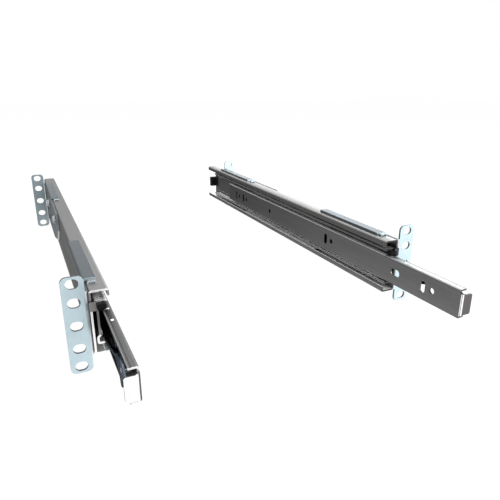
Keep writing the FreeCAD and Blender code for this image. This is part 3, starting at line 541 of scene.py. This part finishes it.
def turned_metal(name, colour):
    """Zinc on a headed or turned part, with fine tool marks."""
    metal = Finish(name, Metallic=1.0)
    mottle = metal.noise((900, 900, 900), 3.0)
    fine = metal.noise((5200, 5200, 5200), 2.0)
    metal.feed("Base Color", metal.mixed(scaled(colour, 0.80), scaled(colour, 1.12), mottle))
    metal.feed("Roughness", mottle * 0.16 + 0.22)
    metal.relief(mottle * 0.7 + fine * 0.3, 0.010 * MM)
    return metal.material


def moulded_plastic(name, colour):
    """Black moulding: spark-eroded texture, glossier and paler where it is rubbed."""
    moulding = Finish(name, Specular_IOR_Level=0.08)
    texture = moulding.noise((5200, 5200, 5200), 3.0, 0.65)
    cloud = moulding.noise((260, 260, 260), 3.0)
    rounded = moulding.rounded(0.12 * MM)
    bright_line = moulding.edges(rounded)
    pale = tuple(part * 3.0 + 0.004 for part in colour)
    shade = moulding.mixed(colour, pale, moulding.between(0.45, 0.8, cloud) * 0.35)
    moulding.feed("Base Color", moulding.mixed(shade, (0.055, 0.055, 0.057), bright_line * 0.25))
    moulding.feed("Roughness", (0.50 + cloud * 0.14 - bright_line * 0.16).clipped())
    moulding.relief(texture, 0.03 * MM, rounded)
    return moulding.material


# Making pieces

def deselect():
    if bpy.context.object and bpy.context.object.mode != "OBJECT":
        bpy.ops.object.mode_set(mode="OBJECT")
    bpy.ops.object.select_all(action="DESELECT")


def choose(*pieces):
    """Selects these pieces alone, with the first of them active."""
    deselect()
    for piece in pieces:
        piece.select_set(True)
    bpy.context.view_layer.objects.active = pieces[0]


def settle(piece):
    """Puts the piece's place, turn and size into its mesh."""
    choose(piece)
    bpy.ops.object.transform_apply(location=True, rotation=True, scale=True)


def choose_faces(test):
    """Selects in edit mode the faces that pass the test, and only those."""
    bpy.ops.mesh.select_mode(type="FACE")
    bpy.ops.mesh.select_all(action="DESELECT")
    form = bmesh.from_edit_mesh(bpy.context.object.data)
    form.normal_update()
    for face in form.faces:
        face.select_set(test(face))
    bmesh.update_edit_mesh(bpy.context.object.data)


def outboard_of(node):
    """The direction from the pair's middle towards the node's rail."""
    return -1.0 if node.startswith("left") else 1.0


class Solid:
    """Where one round solid of a CAD node lies."""

    def __init__(self, node, low, high):
        self.outboard = outboard_of(node)
        self.middle = (low + high) / 2
        self.start = low.x if self.outboard > 0 else high.x
        self.end = high.x if self.outboard > 0 else low.x
        self.reach = high.x - low.x
        self.radius = (high.z - low.z) / 2


def solids_of(node):
    """The separate solids in a CAD node, from front to rear."""
    form = bmesh.new()
    form.from_mesh(frame["nodes"][node].data)
    bmesh.ops.remove_doubles(form, verts=form.verts, dist=1e-7)
    waiting = set(form.verts)
    boxes = []
    while waiting:
        reached = [waiting.pop()]
        for vertex in reached:
            for edge in vertex.link_edges:
                other = edge.other_vert(vertex)
                if other in waiting:
                    waiting.discard(other)
                    reached.append(other)
        places = [vertex.co for vertex in reached]
        boxes.append((Vector([min(p[i] for p in places) for i in range(3)]),
                      Vector([max(p[i] for p in places) for i in range(3)])))
    form.free()
    boxes.sort(key=lambda box: (round(box[0].y, 4), box[0].z))
    return [Solid(node, low, high) for low, high in boxes]


def ring(solid, station, facets, fill):
    """A circle around the solid's axis, opened in edit mode."""
    distance, radius = station
    deselect()
    bpy.ops.mesh.primitive_circle_add(
        vertices=facets, radius=radius, fill_type=fill, rotation=(0, math.radians(90), 0),
        location=(solid.start + solid.outboard * distance, solid.middle.y, solid.middle.z))
    piece = bpy.context.object
    settle(piece)
    bpy.ops.object.mode_set(mode="EDIT")
    return piece


def sweep(solid, stations, extrude):
    """Extrudes what is selected from station to station. Each is a distance outboard of the
    solid's start and a radius there."""
    (distance, radius), *rest = stations
    for next_distance, next_radius in rest:
        extrude()
        grow = next_radius / radius
        bpy.ops.transform.translate(
            value=(solid.outboard * (next_distance - distance), 0, 0))
        bpy.ops.transform.resize(value=(1, grow, grow),
                                 center_override=(0, solid.middle.y, solid.middle.z))
        distance, radius = next_distance, next_radius
    bpy.ops.mesh.select_all(action="SELECT")


def turned(solid, stations, facets):
    """A round piece in the place of a solid."""
    piece = ring(solid, stations[0], facets, "NGON")
    bpy.ops.mesh.select_all(action="SELECT")
    sweep(solid, stations, bpy.ops.mesh.extrude_region_move)
    bpy.ops.mesh.normals_make_consistent(inside=False)
    bpy.ops.object.mode_set(mode="OBJECT")
    return piece


def domed(solid, rise, shares):
    """Stations of a head at the solid's outboard end, from shares of its rise and radius."""
    body = solid.reach - rise
    return [(body + rise * up, solid.radius * out) for up, out in shares]


def smooth(piece, degrees):
    """Shades the piece smoothly, except along edges sharper than this many degrees."""
    choose(piece)
    bpy.ops.object.shade_smooth_by_angle(angle=math.radians(degrees))


def joined(name, parts):
    """One piece from several, as like fasteners of one group are."""
    choose(*parts)
    bpy.ops.object.join()
    piece = bpy.context.object
    piece.name = name
    piece.data.name = name
    settle(piece)
    return piece


def finish_with(modifier_kind, piece, **settings):
    """Adds a modifier to the piece and applies it."""
    choose(piece)
    modifier = piece.modifiers.new(modifier_kind.title(), modifier_kind)
    for name, value in settings.items():
        setattr(modifier, name, value)
    bpy.ops.object.modifier_apply(modifier=modifier.name)


def fit(piece, node, material):
    """Puts a finished piece in the place of its CAD node, on the same body."""
    piece.data.materials.clear()
    piece.data.materials.append(material)
    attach(piece, frame["nodes"][node]["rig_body"])
    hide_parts(node)


def dress(names, material):
    """Gives CAD nodes a finish."""
    for name in names:
        node = frame["nodes"][name]
        for index in range(len(node.material_slots)):
            node.material_slots[index].material = material


def both(*names):
    """The nodes of these names on both rails."""
    return [f"{side}_{name}" for side in SIDES for name in names]


# Operators, one for each group of pieces

class RAILS_OT_profiles(Operator):
    """Finishes the outer, intermediate and inner profiles in rolled steel"""
    bl_idname = "rails.profiles"
    bl_label = "Telescopic profiles"

    def execute(self, context):
        tones = context.scene.rail_steel
        self.outer_members(tones)
        self.intermediate_members(tones)
        self.inner_members(tones)
        return {"FINISHED"}

    def outer_members(self, tones):
        # Each rail has its own copy of the steel: the strengths, the right rail's paler steel and
        # top light, and the left's white and the right's dark cut ends are painted light and shade
        # for where it stands
        left = RolledSteel("left_outer_steel", tones.outer, tones, tones.bare)
        left.shadow(0.35)
        left.top_light(OUTER_TOP, tones.top_light)
        left.fade(0.1)
        left.grease_and_light(13 * MM, 21.5 * MM)
        left.shaded_ends(13 * MM, OUTER_TOP)
        dress(["left_outer_member"], left.finished())
        right = RolledSteel("right_outer_steel", scaled(tones.outer, 1.36), tones, tones.dark)
        right.shadow(0.8)
        right.top_light(OUTER_TOP, scaled(tones.top_light, 1.62), inboard=0.64)
        right.fade(0.22)
        right.grease_and_light(17.2 * MM, 21.5 * MM, level=2.0, slanting=1.0, upper=0.2)
        dress(["right_outer_member"], right.finished())

    def intermediate_members(self, tones):
        # The left's white and the right's dark cut ends, and the grease film's strengths, are
        # painted light and shade for where each rail stands
        left = RolledSteel("left_intermediate_steel", tones.middle, tones, tones.bare)
        left.shadow(0.5)
        left.fade(0.4)
        left.grease_and_light(8 * MM, 20 * MM, level=1.8)
        left.shaded_ends(-9 * MM, 14 * MM)
        dress(["left_intermediate_member"], left.finished())
        right = RolledSteel("right_intermediate_steel", tones.middle, tones, tones.dark)
        right.shadow(0.5)
        right.fade(0.4)
        right.grease_and_light(8 * MM, 20 * MM, level=2.6, slanting=1.6, upper=0.2)
        dress(["right_intermediate_member"], right.finished())

    def inner_members(self, tones):
        # The ends, the right's top light, the grease film and the bend highlights differ per side
        # as painted light and shade for where each rail stands; the left's bend lines take the
        # steel's own colour
        left = RolledSteel("left_inner_steel", tones.inner, tones, tones.bare)
        left.shadow(0.5)
        left.fade(0.65)
        left.latch_shade()
        left.top_light_and_shade()
        left.bend_highlights(tones.inner)
        dress(["left_inner_member"], left.finished())
        right = RolledSteel("right_inner_steel", tones.inner, tones, scaled(tones.shaded_ends, 0.52))
        right.shadow(0.5)
        right.top_light(10.3 * MM, tones.inner_top_light, last=-12 * MM)
        right.fade(0.62)
        right.grease_and_light(10.2 * MM, 11.3 * MM, level=0.95, slanting=1.15)
        right.latch_shade()
        right.top_light_and_shade()
        right.bend_highlights(tones.bare)
        dress(["right_inner_member"], right.finished())


class RAILS_OT_brackets(Operator):
    """Finishes the rack brackets in pale blue zinc"""
    bl_idname = "rails.brackets"
    bl_label = "Rack brackets"

    def execute(self, context):
        tones = context.scene.rail_plate
        # Each bracket's lightness and shade are painted light and shade for where it stands
        for bracket, lightness, shade in (("left_front", 1.0, 0.9), ("right_front", 1.25, 1.7),
                                          ("left_rear", 0.48, 0.72), ("right_rear", 1.4, 1.36)):
            dress([f"{bracket}_bracket"],
                  zinc_plate(f"{bracket}_zinc", tones, lightness, shade))
        return {"FINISHED"}


class RAILS_OT_bearings(Operator):
    """Finishes the balls and their cages"""
    bl_idname = "rails.bearings"
    bl_label = "Balls and cages"

    def execute(self, context):
        tones = context.scene.rail_plate
        dress(["left_outer_ball_cage", *both("inner_ball_cage")],
              satin_strip("cage_strip", tones.cage, Metallic=1.0))
        # The right outer cage takes a paler, matt copy as painted light in its shaded gap
        dress(["right_outer_ball_cage"], satin_strip("right_lit_cage_strip", tones.lit_cage))
        dress(both("outer_balls", "inner_balls"), polished_steel("ball_steel", tones.ball))
        return {"FINISHED"}


class RAILS_OT_latch(Operator):
    """Finishes the release lever and its spring, and models the stud it turns on"""
    bl_idname = "rails.latch"
    bl_label = "Release latch"

    def execute(self, context):
        tones = context.scene.rail_plate
        # The lever's dark strip and lighter tip are painted shade and light in the inner channel
        dress(both("release_lever"),
              satin_strip("lever_strip", tones.lever, tones.lever_lit_tip, Metallic=1.0,
                          Specular_Tint=(0.26, 0.29, 0.33)))
        dress(both("lever_spring"), spring_temper("spring_steel", tones.spring))
        metal = turned_metal("stud_zinc", tones.fastener)
        facets = context.scene.rail_fasteners.facets
        for side in SIDES:
            node = f"{side}_lever_pivot"
            (solid,) = solids_of(node)
            piece = turned(solid, self.stations(node, solid), facets)
            piece.name = f"{side}_lever_stud"
            smooth(piece, 35)
            fit(piece, node, metal)
        return {"FINISHED"}

    def stations(self, node, solid):
        """A chamfered collar on the inboard side, and a thinner neck."""
        collar, neck = solid.radius, 1.5 * MM
        middle = solid.middle
        shoulder = max(round(abs(v.co.x - solid.start), 5)
                       for v in frame["nodes"][node].data.vertices
                       if math.hypot(v.co.y - middle.y, v.co.z - middle.z) > neck + 0.2 * MM)
        return [(0.0, collar - 0.35 * MM), (0.08 * MM, collar - 0.2 * MM), (0.3 * MM, collar),
                (shoulder, collar), (shoulder, neck), (solid.reach - 0.2 * MM, neck),
                (solid.reach, neck - 0.2 * MM)]


class RAILS_OT_rivets(Operator):
    """Models the low-headed rivets of the front brackets and the bumpers' rivets"""
    bl_idname = "rails.rivets"
    bl_label = "Rivets"

    def execute(self, context):
        metal = turned_metal("rivet_zinc", context.scene.rail_plate.fastener)
        facets = context.scene.rail_fasteners.facets
        for side in SIDES:
            for group, name, shape in (
                    ("front_bracket_rivets", "bracket_rivet_set", self.bracket_rivet),
                    ("bumper_rivet", "bumper_rivet_head", self.bumper_rivet)):
                node = f"{side}_{group}"
                piece = joined(f"{side}_{name}", [turned(solid, shape(solid), facets)
                                                  for solid in solids_of(node)])
                smooth(piece, 28)
                fit(piece, node, metal)
        return {"FINISHED"}

    def bracket_rivet(self, solid):
        """A chamfered shank and a low dome that is sunk in its middle."""
        rise, shank = 1.1 * MM, 1.6 * MM
        return [(0.0, 1.25 * MM), (0.35 * MM, shank), (solid.reach - rise, shank),
                *domed(solid, rise, ((0.0, 0.985), (0.22, 1.0), (0.50, 0.95), (0.76, 0.82),
                                     (0.93, 0.62), (1.0, 0.40), (0.97, 0.34), (0.70, 0.28),
                                     (0.66, 0.12)))]

    def bumper_rivet(self, solid):
        """A flat head with a raised middle."""
        head = solid.radius
        return [(0.0, head * 0.55), (0.10 * MM, head * 0.62), (0.12 * MM, head * 0.9),
                (0.30 * MM, head), (solid.reach, head)]


class RAILS_OT_screws(Operator):
    """Models the rear brackets' pan-head screws with cross recesses, and their washers"""
    bl_idname = "rails.screws"
    bl_label = "Screws and washers"

    def execute(self, context):
        sizes = context.scene.rail_fasteners
        metal = turned_metal("screw_zinc", context.scene.rail_plate.fastener)
        for side in SIDES:
            for group, name, make in (("screws", "pan_head_screws", self.screw),
                                      ("washers", "plain_washers", self.washer)):
                node = f"{side}_rear_bracket_{group}"
                piece = joined(f"{side}_{name}",
                               [make(solid, sizes) for solid in solids_of(node)])
                smooth(piece, 28)
                fit(piece, node, metal)
        return {"FINISHED"}

    def screw(self, solid, sizes):
        """A chamfered shank and a pan head with a cross recess."""
        rise, shank, head = 2.2 * MM, 2.0 * MM, solid.radius
        body = solid.reach - rise
        screw = turned(solid, [
            (0.0, shank - 0.4 * MM), (0.4 * MM, shank), (body, shank),
            (body, head - 0.1 * MM), (body + 0.12 * MM, head),
            *domed(solid, rise, ((0.52, 1.0), (0.74, 0.955), (0.90, 0.84), (0.985, 0.62),
                                 (1.0, 0.30)))], sizes.facets)
        cutter = self.recess(solid, sizes)
        finish_with("BOOLEAN", screw, operation="DIFFERENCE", object=cutter, solver="EXACT")
        bpy.data.objects.remove(cutter)
        return screw

    def recess(self, solid, sizes):
        """The tapered cross that the driver fits, as a solid to cut away."""
        depth, width = sizes.recess_depth, sizes.recess_width
        centre = (solid.end, solid.middle.y, solid.middle.z)
        deselect()
        bpy.ops.mesh.primitive_cube_add(size=1.0, location=centre,
                                        scale=(depth * 2, width, width))
        cutter = bpy.context.object
        settle(cutter)
        bpy.ops.object.mode_set(mode="EDIT")
        choose_faces(lambda face: abs(face.normal.x) < 0.5)
        bpy.ops.mesh.extrude_faces_move(
            TRANSFORM_OT_shrink_fatten={"value": sizes.recess_reach - width / 2})
        deep = solid.end - solid.outboard * depth
        choose_faces(lambda face: abs(face.calc_center_median().x - deep) < 0.01 * MM)
        bpy.ops.transform.resize(value=(1, 0.55, 0.55), center_override=centre)
        bpy.ops.mesh.select_all(action="SELECT")
        bpy.ops.transform.rotate(value=math.radians(20), orient_axis="X",
                                 center_override=centre)
        bpy.ops.mesh.normals_make_consistent(inside=False)
        bpy.ops.object.mode_set(mode="OBJECT")
        return cutter

    def washer(self, solid, sizes):
        """A flat ring with both outer edges chamfered."""
        hole, chamfer = 2.15 * MM, 0.12 * MM
        rim, thick = solid.radius, solid.reach
        stations = ((0.0, hole), (0.0, rim - chamfer), (chamfer, rim), (thick - chamfer, rim),
                    (thick, rim - chamfer), (thick, hole), (0.0, hole))
        washer = ring(solid, stations[0], sizes.facets, "NOTHING")
        bpy.ops.mesh.select_mode(type="EDGE")
        bpy.ops.mesh.select_all(action="SELECT")
        sweep(solid, stations, bpy.ops.mesh.extrude_edges_move)
        bpy.ops.mesh.remove_doubles(threshold=0.001 * MM)
        bpy.ops.mesh.normals_make_consistent(inside=False)
        bpy.ops.object.mode_set(mode="OBJECT")
        return washer


class RAILS_OT_mouldings(Operator):
    """Models the black plastic bumpers and guides"""
    bl_idname = "rails.mouldings"
    bl_label = "Bumpers and guides"

    def execute(self, context):
        tones = context.scene.rail_plastic
        plastic = moulded_plastic("black_moulding", tones.black)
        for side in SIDES:
            for name, moulding, make in (("rear_bumper", "moulded_bumper", self.bumper),
                                         ("upper_guide", "moulded_upper_guide", self.upper),
                                         ("lower_guide", "moulded_lower_guide", self.lower)):
                node = f"{side}_{name}"
                piece = make(node)
                piece.name = f"{side}_{moulding}"
                piece.data.name = piece.name
                finish_with("BEVEL", piece, width=tones.edge_round, segments=3,
                            limit_method="ANGLE", angle_limit=math.radians(40))
                smooth(piece, 40)
                fit(piece, node, plastic)
        return {"FINISHED"}

    def block(self, low, high):
        """A box between two corners, opened in edit mode."""
        deselect()
        bpy.ops.mesh.primitive_cube_add(size=1.0, location=(low + high) / 2, scale=high - low)
        piece = bpy.context.object
        settle(piece)
        bpy.ops.object.mode_set(mode="EDIT")
        return piece

    def bumper(self, node):
        """A block across the channel's end, on a foot along its web, with a sunk back."""
        (low, high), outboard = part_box(node), outboard_of(node)
        length, foot, rim, sink = 6.1 * MM, 2.2 * MM, 1.5 * MM, 0.7 * MM
        block_start = high.y - length
        piece = self.block(Vector((low.x, block_start, low.z)), high)
        web = high.x if outboard > 0 else low.x
        cut = web - outboard * foot
        bpy.ops.mesh.select_all(action="SELECT")
        bpy.ops.mesh.bisect(plane_co=(cut, 0, 0), plane_no=(1, 0, 0))
        choose_faces(lambda face: face.normal.y < -0.5
                     and (face.calc_center_median().x - cut) * outboard > 0)
        bpy.ops.mesh.extrude_region_move()
        bpy.ops.transform.translate(value=(0, low.y - block_start, 0))
        choose_faces(lambda face: face.normal.y > 0.5)
        bpy.ops.mesh.inset(thickness=rim)
        bpy.ops.transform.translate(value=(0, -sink, 0))
        bpy.ops.object.mode_set(mode="OBJECT")
        return piece

    def upper(self, node):
        """A nose ahead of the shoulder and a runner under the flange, with its peg."""
        (low, high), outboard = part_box(node), outboard_of(node)
        shoulder_width, runner_inset, nose_inset, skirt = 2.3 * MM, 2.9 * MM, 0.4 * MM, 1.4 * MM
        web = low.x if outboard < 0 else high.x
        inboard = high.x if outboard < 0 else low.x
        step = web - outboard * shoulder_width
        runner = web - outboard * runner_inset
        relief = inboard + outboard * nose_inset
        top, floor, front = high.z - PEG_RISE, low.z + skirt, 0.0
        piece = self.block(Vector((low.x, low.y, floor)), Vector((high.x, front, top)))
        for cut in (step, runner, relief):
            bpy.ops.mesh.select_all(action="SELECT")
            bpy.ops.mesh.bisect(plane_co=(cut, 0, 0), plane_no=(1, 0, 0))
        choose_faces(lambda face: face.normal.z < -0.5
                     and (face.calc_center_median().x - step) * outboard > 0)
        bpy.ops.mesh.extrude_region_move()
        bpy.ops.transform.translate(value=(0, 0, low.z - floor))
        choose_faces(lambda face: face.normal.y > 0.5
                     and min(runner, relief) < face.calc_center_median().x < max(runner, relief))
        bpy.ops.mesh.extrude_region_move()
        bpy.ops.transform.translate(value=(0, high.y - front, 0))
        choose_faces(lambda face: face.normal.y > 0.5 and face.calc_center_median().y > front)
        bpy.ops.transform.resize(value=(NOSE_SHARE, 1, NOSE_SHARE))
        bpy.ops.object.mode_set(mode="OBJECT")
        return self.pegged(piece, (runner + relief) / 2, high.y / 2, top)

    def lower(self, node):
        """A runner over the lower flange, with its peg."""
        low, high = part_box(node)
        floor = low.z + PEG_RISE
        piece = self.block(Vector((low.x, low.y, floor)), high)
        choose_faces(lambda face: face.normal.y > 0.5)
        bpy.ops.transform.resize(value=(NOSE_SHARE, 1, NOSE_SHARE))
        bpy.ops.object.mode_set(mode="OBJECT")
        return self.pegged(piece, (low.x + high.x) / 2, (low.y + high.y) / 2, floor)

    def pegged(self, piece, across, along, face):
        """The piece with a peg that stands out of its upper or lower face."""
        deselect()
        bpy.ops.mesh.primitive_cylinder_add(
            vertices=32, radius=PEG_RADIUS, depth=PEG_RISE * 2, location=(across, along, face))
        peg = bpy.context.object
        settle(peg)
        finish_with("BOOLEAN", piece, operation="UNION", object=peg, solver="EXACT")
        bpy.data.objects.remove(peg)
        return piece


class RAILS_OT_stage(Operator):
    """Makes the floor, the lights and the camera"""
    bl_idname = "rails.stage"
    bl_label = "Stage"

    def execute(self, context):
        stage = context.scene.rail_stage
        self.floor()
        self.surroundings(stage)
        middle, front_right = (0.0, 0.15, 0.0), (0.13, 0.0, 0.0)
        self.lamp("key_lamp", stage.key, size=(0.9, 0.9), place=(0.10, 0.25, 0.95), aim=middle)
        self.lamp("fill_lamp", stage.fill, size=(0.7, 0.7), place=(-0.25, -0.85, 0.42), aim=middle)
        self.lamp("rim_lamp", stage.rim, size=(1.3, 1.0), place=(1.06, 1.28, 0.52), aim=middle)
        self.lamp("back_lamp", stage.back, size=(1.25, 0.6), place=(0.10, 1.65, 0.50), aim=middle)
        self.lamp("side_lamp", stage.side, size=(0.35, 0.35), place=(0.45, -0.50, 0.30),
                  aim=front_right)
        self.camera(stage)
        context.scene.view_settings.view_transform = "Standard"
        return {"FINISHED"}

    def floor(self):
        deselect()
        ground = min(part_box(f"{side}_front_bracket")[0].z for side in SIDES)
        bpy.ops.mesh.primitive_plane_add(size=8.0, location=(0, 0.2, ground - 0.05 * MM))
        floor = bpy.context.object
        floor.name = "floor"
        settle(floor)
        cover = bpy.data.materials.new("pale_floor")
        paint = NodeTree(cover)
        matt = paint.node("ShaderNodeBsdfDiffuse", {}, {"Color": (0.9, 0.9, 0.9)})
        glow = paint.node("ShaderNodeEmission", {}, {"Color": WHITE, "Strength": 1.05})
        paint.show("ShaderNodeOutputMaterial", paint.blend(matt, glow, paint.seen() * 0.88))
        floor.data.materials.append(cover)

    def surroundings(self, stage):
        """Even light on the object, and plain white where the camera sees past it."""
        world = bpy.data.worlds.new("studio")
        bpy.context.scene.world = world
        air = NodeTree(world)
        even = air.node("ShaderNodeBackground", {}, {"Color": WHITE, "Strength": stage.ambient})
        white = air.node("ShaderNodeBackground", {}, {"Color": WHITE})
        air.show("ShaderNodeOutputWorld", air.blend(even, white, air.seen()))

    def lamp(self, name, power, size, place, aim):
        """A soft box that shines on a place and isn't itself in the picture."""
        light = bpy.data.lights.new(name, "AREA")
        light.energy = power
        light.shape = "RECTANGLE"
        light.size, light.size_y = size
        lamp = bpy.data.objects.new(name, light)
        bpy.context.scene.collection.objects.link(lamp)
        lamp.location = place
        lamp.rotation_euler = (Vector(aim) - Vector(place)).to_track_quat("-Z", "Y").to_euler()
        lamp.visible_camera = False

    def camera(self, stage):
        camera = bpy.data.objects.new("camera", bpy.data.cameras.new("camera"))
        bpy.context.scene.collection.objects.link(camera)
        camera.location = stage.camera_place
        camera.rotation_euler = stage.camera_turn
        camera.data.sensor_width = 36.0
        camera.data.lens = stage.lens
        camera.data.clip_start = 0.01
        bpy.context.scene.camera = camera


class RAILS_PT_panel(Panel):
    """Shows the rails' settings, their tones among them, and a button for each step"""
    bl_idname = "RAILS_PT_panel"
    bl_label = "Slide Rails"
    bl_space_type = "VIEW_3D"
    bl_region_type = "UI"
    bl_category = "Slide Rails"

    def draw(self, context):
        for group in SETTINGS:
            box = self.layout.box()
            settings = getattr(context.scene, group)
            for name in settings.bl_rna.properties.keys():
                if name not in ("name", "rna_type"):
                    box.prop(settings, name)
        for step in STEPS:
            self.layout.operator(step.bl_idname)


SETTINGS = {"rail_steel": SteelTones, "rail_plate": PlateTones, "rail_plastic": PlasticTones,
            "rail_fasteners": FastenerSizes, "rail_stage": StageSettings}
STEPS = (RAILS_OT_profiles, RAILS_OT_brackets, RAILS_OT_bearings, RAILS_OT_latch,
         RAILS_OT_rivets, RAILS_OT_screws, RAILS_OT_mouldings, RAILS_OT_stage)


def register():
    for group, settings in SETTINGS.items():
        bpy.utils.register_class(settings)
        setattr(bpy.types.Scene, group, PointerProperty(type=settings))
    for step in (*STEPS, RAILS_PT_panel):
        bpy.utils.register_class(step)


def unregister():
    for step in (RAILS_PT_panel, *reversed(STEPS)):
        bpy.utils.unregister_class(step)
    for group, settings in SETTINGS.items():
        delattr(bpy.types.Scene, group)
        bpy.utils.unregister_class(settings)


def main():
    register()
    bpy.ops.rails.profiles()
    bpy.ops.rails.brackets()
    bpy.ops.rails.bearings()
    bpy.ops.rails.latch()
    bpy.ops.rails.rivets()
    bpy.ops.rails.screws()
    bpy.ops.rails.mouldings()
    bpy.ops.rails.stage()


if __name__ == "__main__":
    main()
